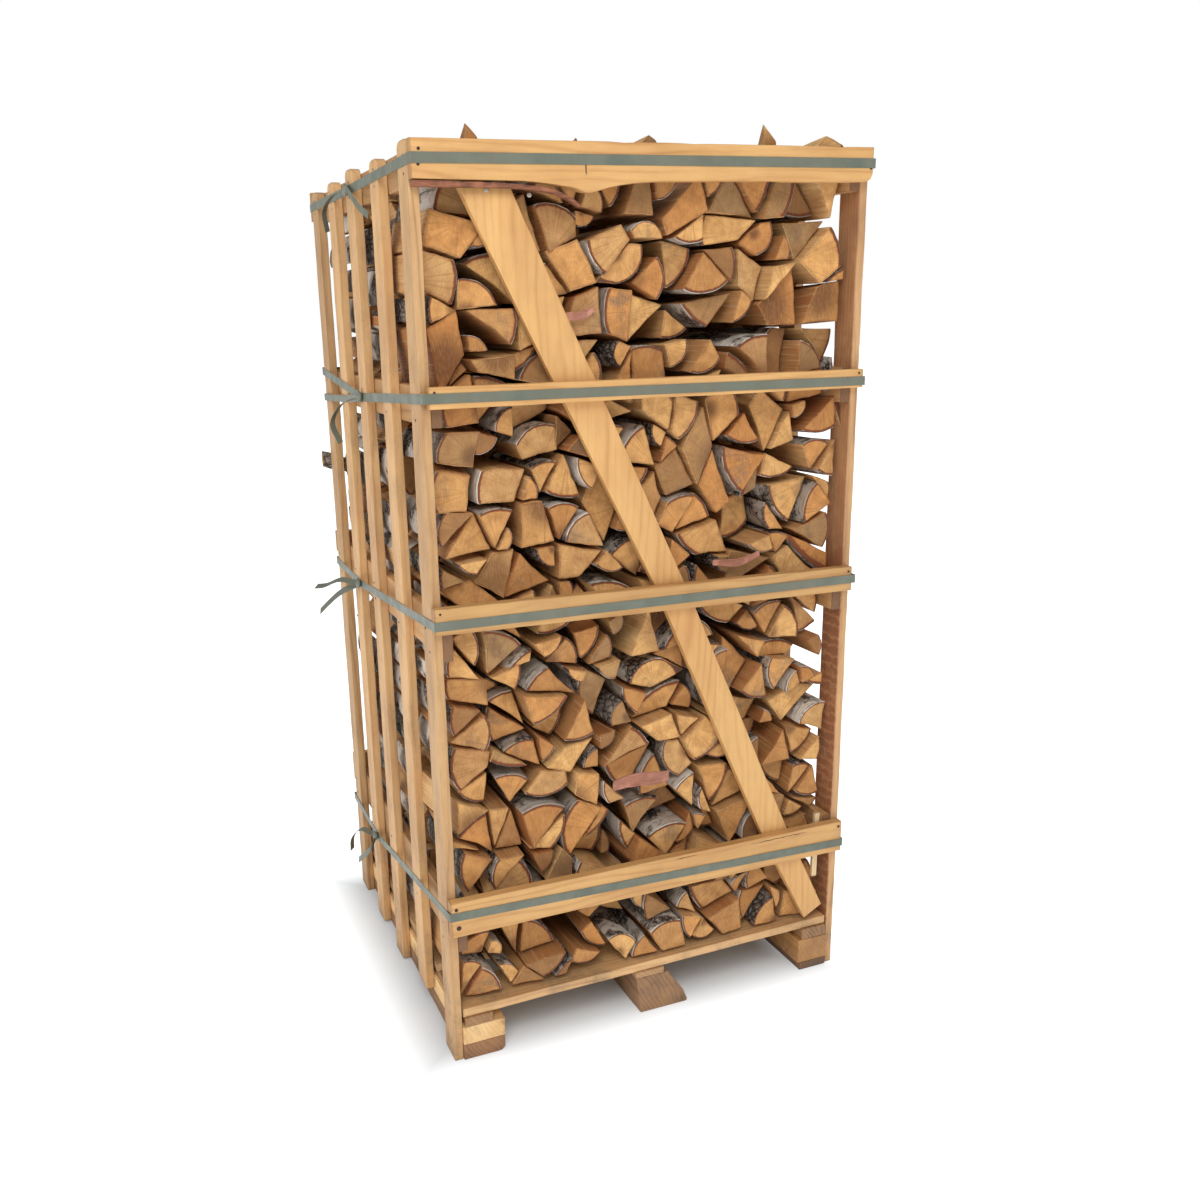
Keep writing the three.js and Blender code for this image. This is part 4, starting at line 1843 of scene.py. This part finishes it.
@dataclass(frozen=True)
class Studio:
    """Pale glowing floor with a painted shadow round the crate, soft lights and the camera."""

    crate: Crate
    eye: tuple[float, float, float] = (-0.5785, -2.1242, 1.6056)
    heading: float = 21.961
    down: float = 15.585
    roll: float = -1.271
    lens: float = 34.016
    shift: tuple[float, float] = (0.0325, 0.025)
    ambient: float = 0.5
    reach: float = 40.0
    # How much the floor glows under the crate, and how far out that painted shadow fades to full glow.
    shadow_glow: float = 0.03
    shadow_fade: tuple[float, float] = (-0.1, 0.15)

    def build(self) -> None:
        """Makes the floor, the lights and the camera."""
        self.floor()
        self.lights()
        self.camera()

    def floor(self) -> None:
        """A wide floor, nearly white, that glows though it is no lamp; its glow dims under and round
        the crate, which paints the crate's shadow.
        """
        mesh = bpy.data.meshes.new("floor")
        signs = ((-1, -1), (1, -1), (1, 1), (-1, 1))
        corners = [Vector((x * self.reach, y * self.reach, -0.0004)) for x, y in signs]
        mesh.from_pydata(corners, [], [(0, 1, 2, 3)])
        material, tree, shader = new_material("studio_floor")
        place = tree.node("ShaderNodeTexCoord").outputs["Object"]
        cloud = tree.noise(place, 3.0, 2.0)
        tree.feed(shader.inputs["Base Color"],
                  tree.mix(cloud, (0.6, 0.64, 0.67, 1), (0.62, 0.66, 0.69, 1)))
        shader.inputs["Roughness"].default_value = 1.0
        shader.inputs["Specular IOR Level"].default_value = 0.0
        # Painted shadow: the glow is cut down under the crate and rises to full a little way out from
        # its sides.
        axes = tree.split(place)
        across = tree.math("SUBTRACT", tree.math("ABSOLUTE", axes[0]), self.crate.width / 2)
        back = tree.math("SUBTRACT", tree.math("ABSOLUTE", axes[1]), self.crate.depth / 2)
        away = tree.math("MAXIMUM", across, back)
        far = tree.remap(away, *self.shadow_fade, self.shadow_glow, 1.0, smooth=True)
        shader.inputs["Emission Color"].default_value = (1.0, 1.0, 1.0, 1.0)
        tree.feed(shader.inputs["Emission Strength"], far)
        mesh.materials.append(material)
        ground = bpy.data.objects.new("floor", mesh)
        bpy.context.scene.collection.objects.link(ground)

    def lights(self) -> None:
        """A bright even room with one large soft light in front and above."""
        world = bpy.data.worlds.new("studio")
        world.use_nodes = True
        background = world.node_tree.nodes["Background"]
        background.inputs["Color"].default_value = (1.0, 1.0, 1.0, 1.0)
        tree = ShaderTree(world.node_tree)
        seen = tree.node("ShaderNodeLightPath").outputs["Is Camera Ray"]
        tree.feed(background.inputs["Strength"], tree.math("MULTIPLY_ADD", seen, 0.5, self.ambient))
        bpy.context.scene.world = world
        self.softbox("key_light", (-1.3, -3.3, 4.2), (0.5, 0.3, 1.0), 2.2, 112.0)
        self.softbox("side_light", (-3.6, 0.6, 2.6), (0.4, 0.5, 0.9), 2.4, 22.0)

    def softbox(self, name: str, place: Sequence[float], target: Sequence[float], size: float,
                power: float) -> None:
        """One square area light, aimed at a target.

        Args:
            name: the light's name.
            place: where it hangs, from the crate's corner.
            target: where it points, from the crate's corner.
            size: the length of its side.
            power: its power in watts.
        """
        data = bpy.data.lights.new(name, "AREA")
        data.size = size
        data.energy = power
        lamp = bpy.data.objects.new(name, data)
        start = self.crate.at(*place)
        lamp.location = start
        aim = self.crate.at(*target) - start
        lamp.rotation_euler = aim.to_track_quat("-Z", "Y").to_euler()
        bpy.context.scene.collection.objects.link(lamp)

    def camera(self) -> None:
        """The camera, at standing eye height, left of the front face."""
        data = bpy.data.cameras.new("camera")
        data.lens = self.lens
        data.sensor_width = 36.0
        data.shift_x, data.shift_y = self.shift
        data.clip_end = 200.0
        camera = bpy.data.objects.new("camera", data)
        heading, down, roll = (math.radians(a) for a in (self.heading, self.down, self.roll))
        flat = Vector((math.sin(heading), math.cos(heading), 0.0))
        forward = flat * math.cos(down) - Vector((0, 0, math.sin(down)))
        level = Vector((flat.y, -flat.x, 0.0))
        rise = level.cross(forward)
        right = level * math.cos(roll) + rise * math.sin(roll)
        up = rise * math.cos(roll) - level * math.sin(roll)
        turned = Matrix((right, up, -forward)).transposed().to_4x4()
        camera.matrix_world = Matrix.Translation(self.crate.at(*self.eye)) @ turned
        bpy.context.scene.collection.objects.link(camera)
        bpy.context.scene.camera = camera
        bpy.context.scene.view_settings.view_transform = "Standard"


def main() -> None:
    """Builds the crate, its load and the studio, in order."""
    logging.basicConfig(level=logging.INFO, format="%(message)s")
    crate = Crate.from_frame()
    effects = Effects()
    Studio(crate).build()
    TimberFrame(crate, effects).build()
    Strapping(effects).build()
    Strapping.dress("peeling_bark_strip", InnerBark().build())
    Hardware(crate).build()
    pink = InnerBark("pink_bark", srgb(208, 146, 124), 0.35).build()
    curls = (
        BarkCurl("bark_curl_low", (0.47, 0.014, 0.588), 0.14, 0.05, 0.06, 0.022),
        BarkCurl("bark_curl_high", (0.33, 0.02, 1.6), 0.09, 0.02, 0.35),
        BarkCurl("bark_curl_middle", (0.71, 0.02, 1.068), 0.12, 0.022, 0.1),
    )
    for number, curl in enumerate(curls):
        curl.build(crate, pink, number)
    materials = [EndGrain().build(), SplitFace().build(), BirchBark().build()]
    Firewood(crate, materials).build()


if __name__ == "__main__":
    main()
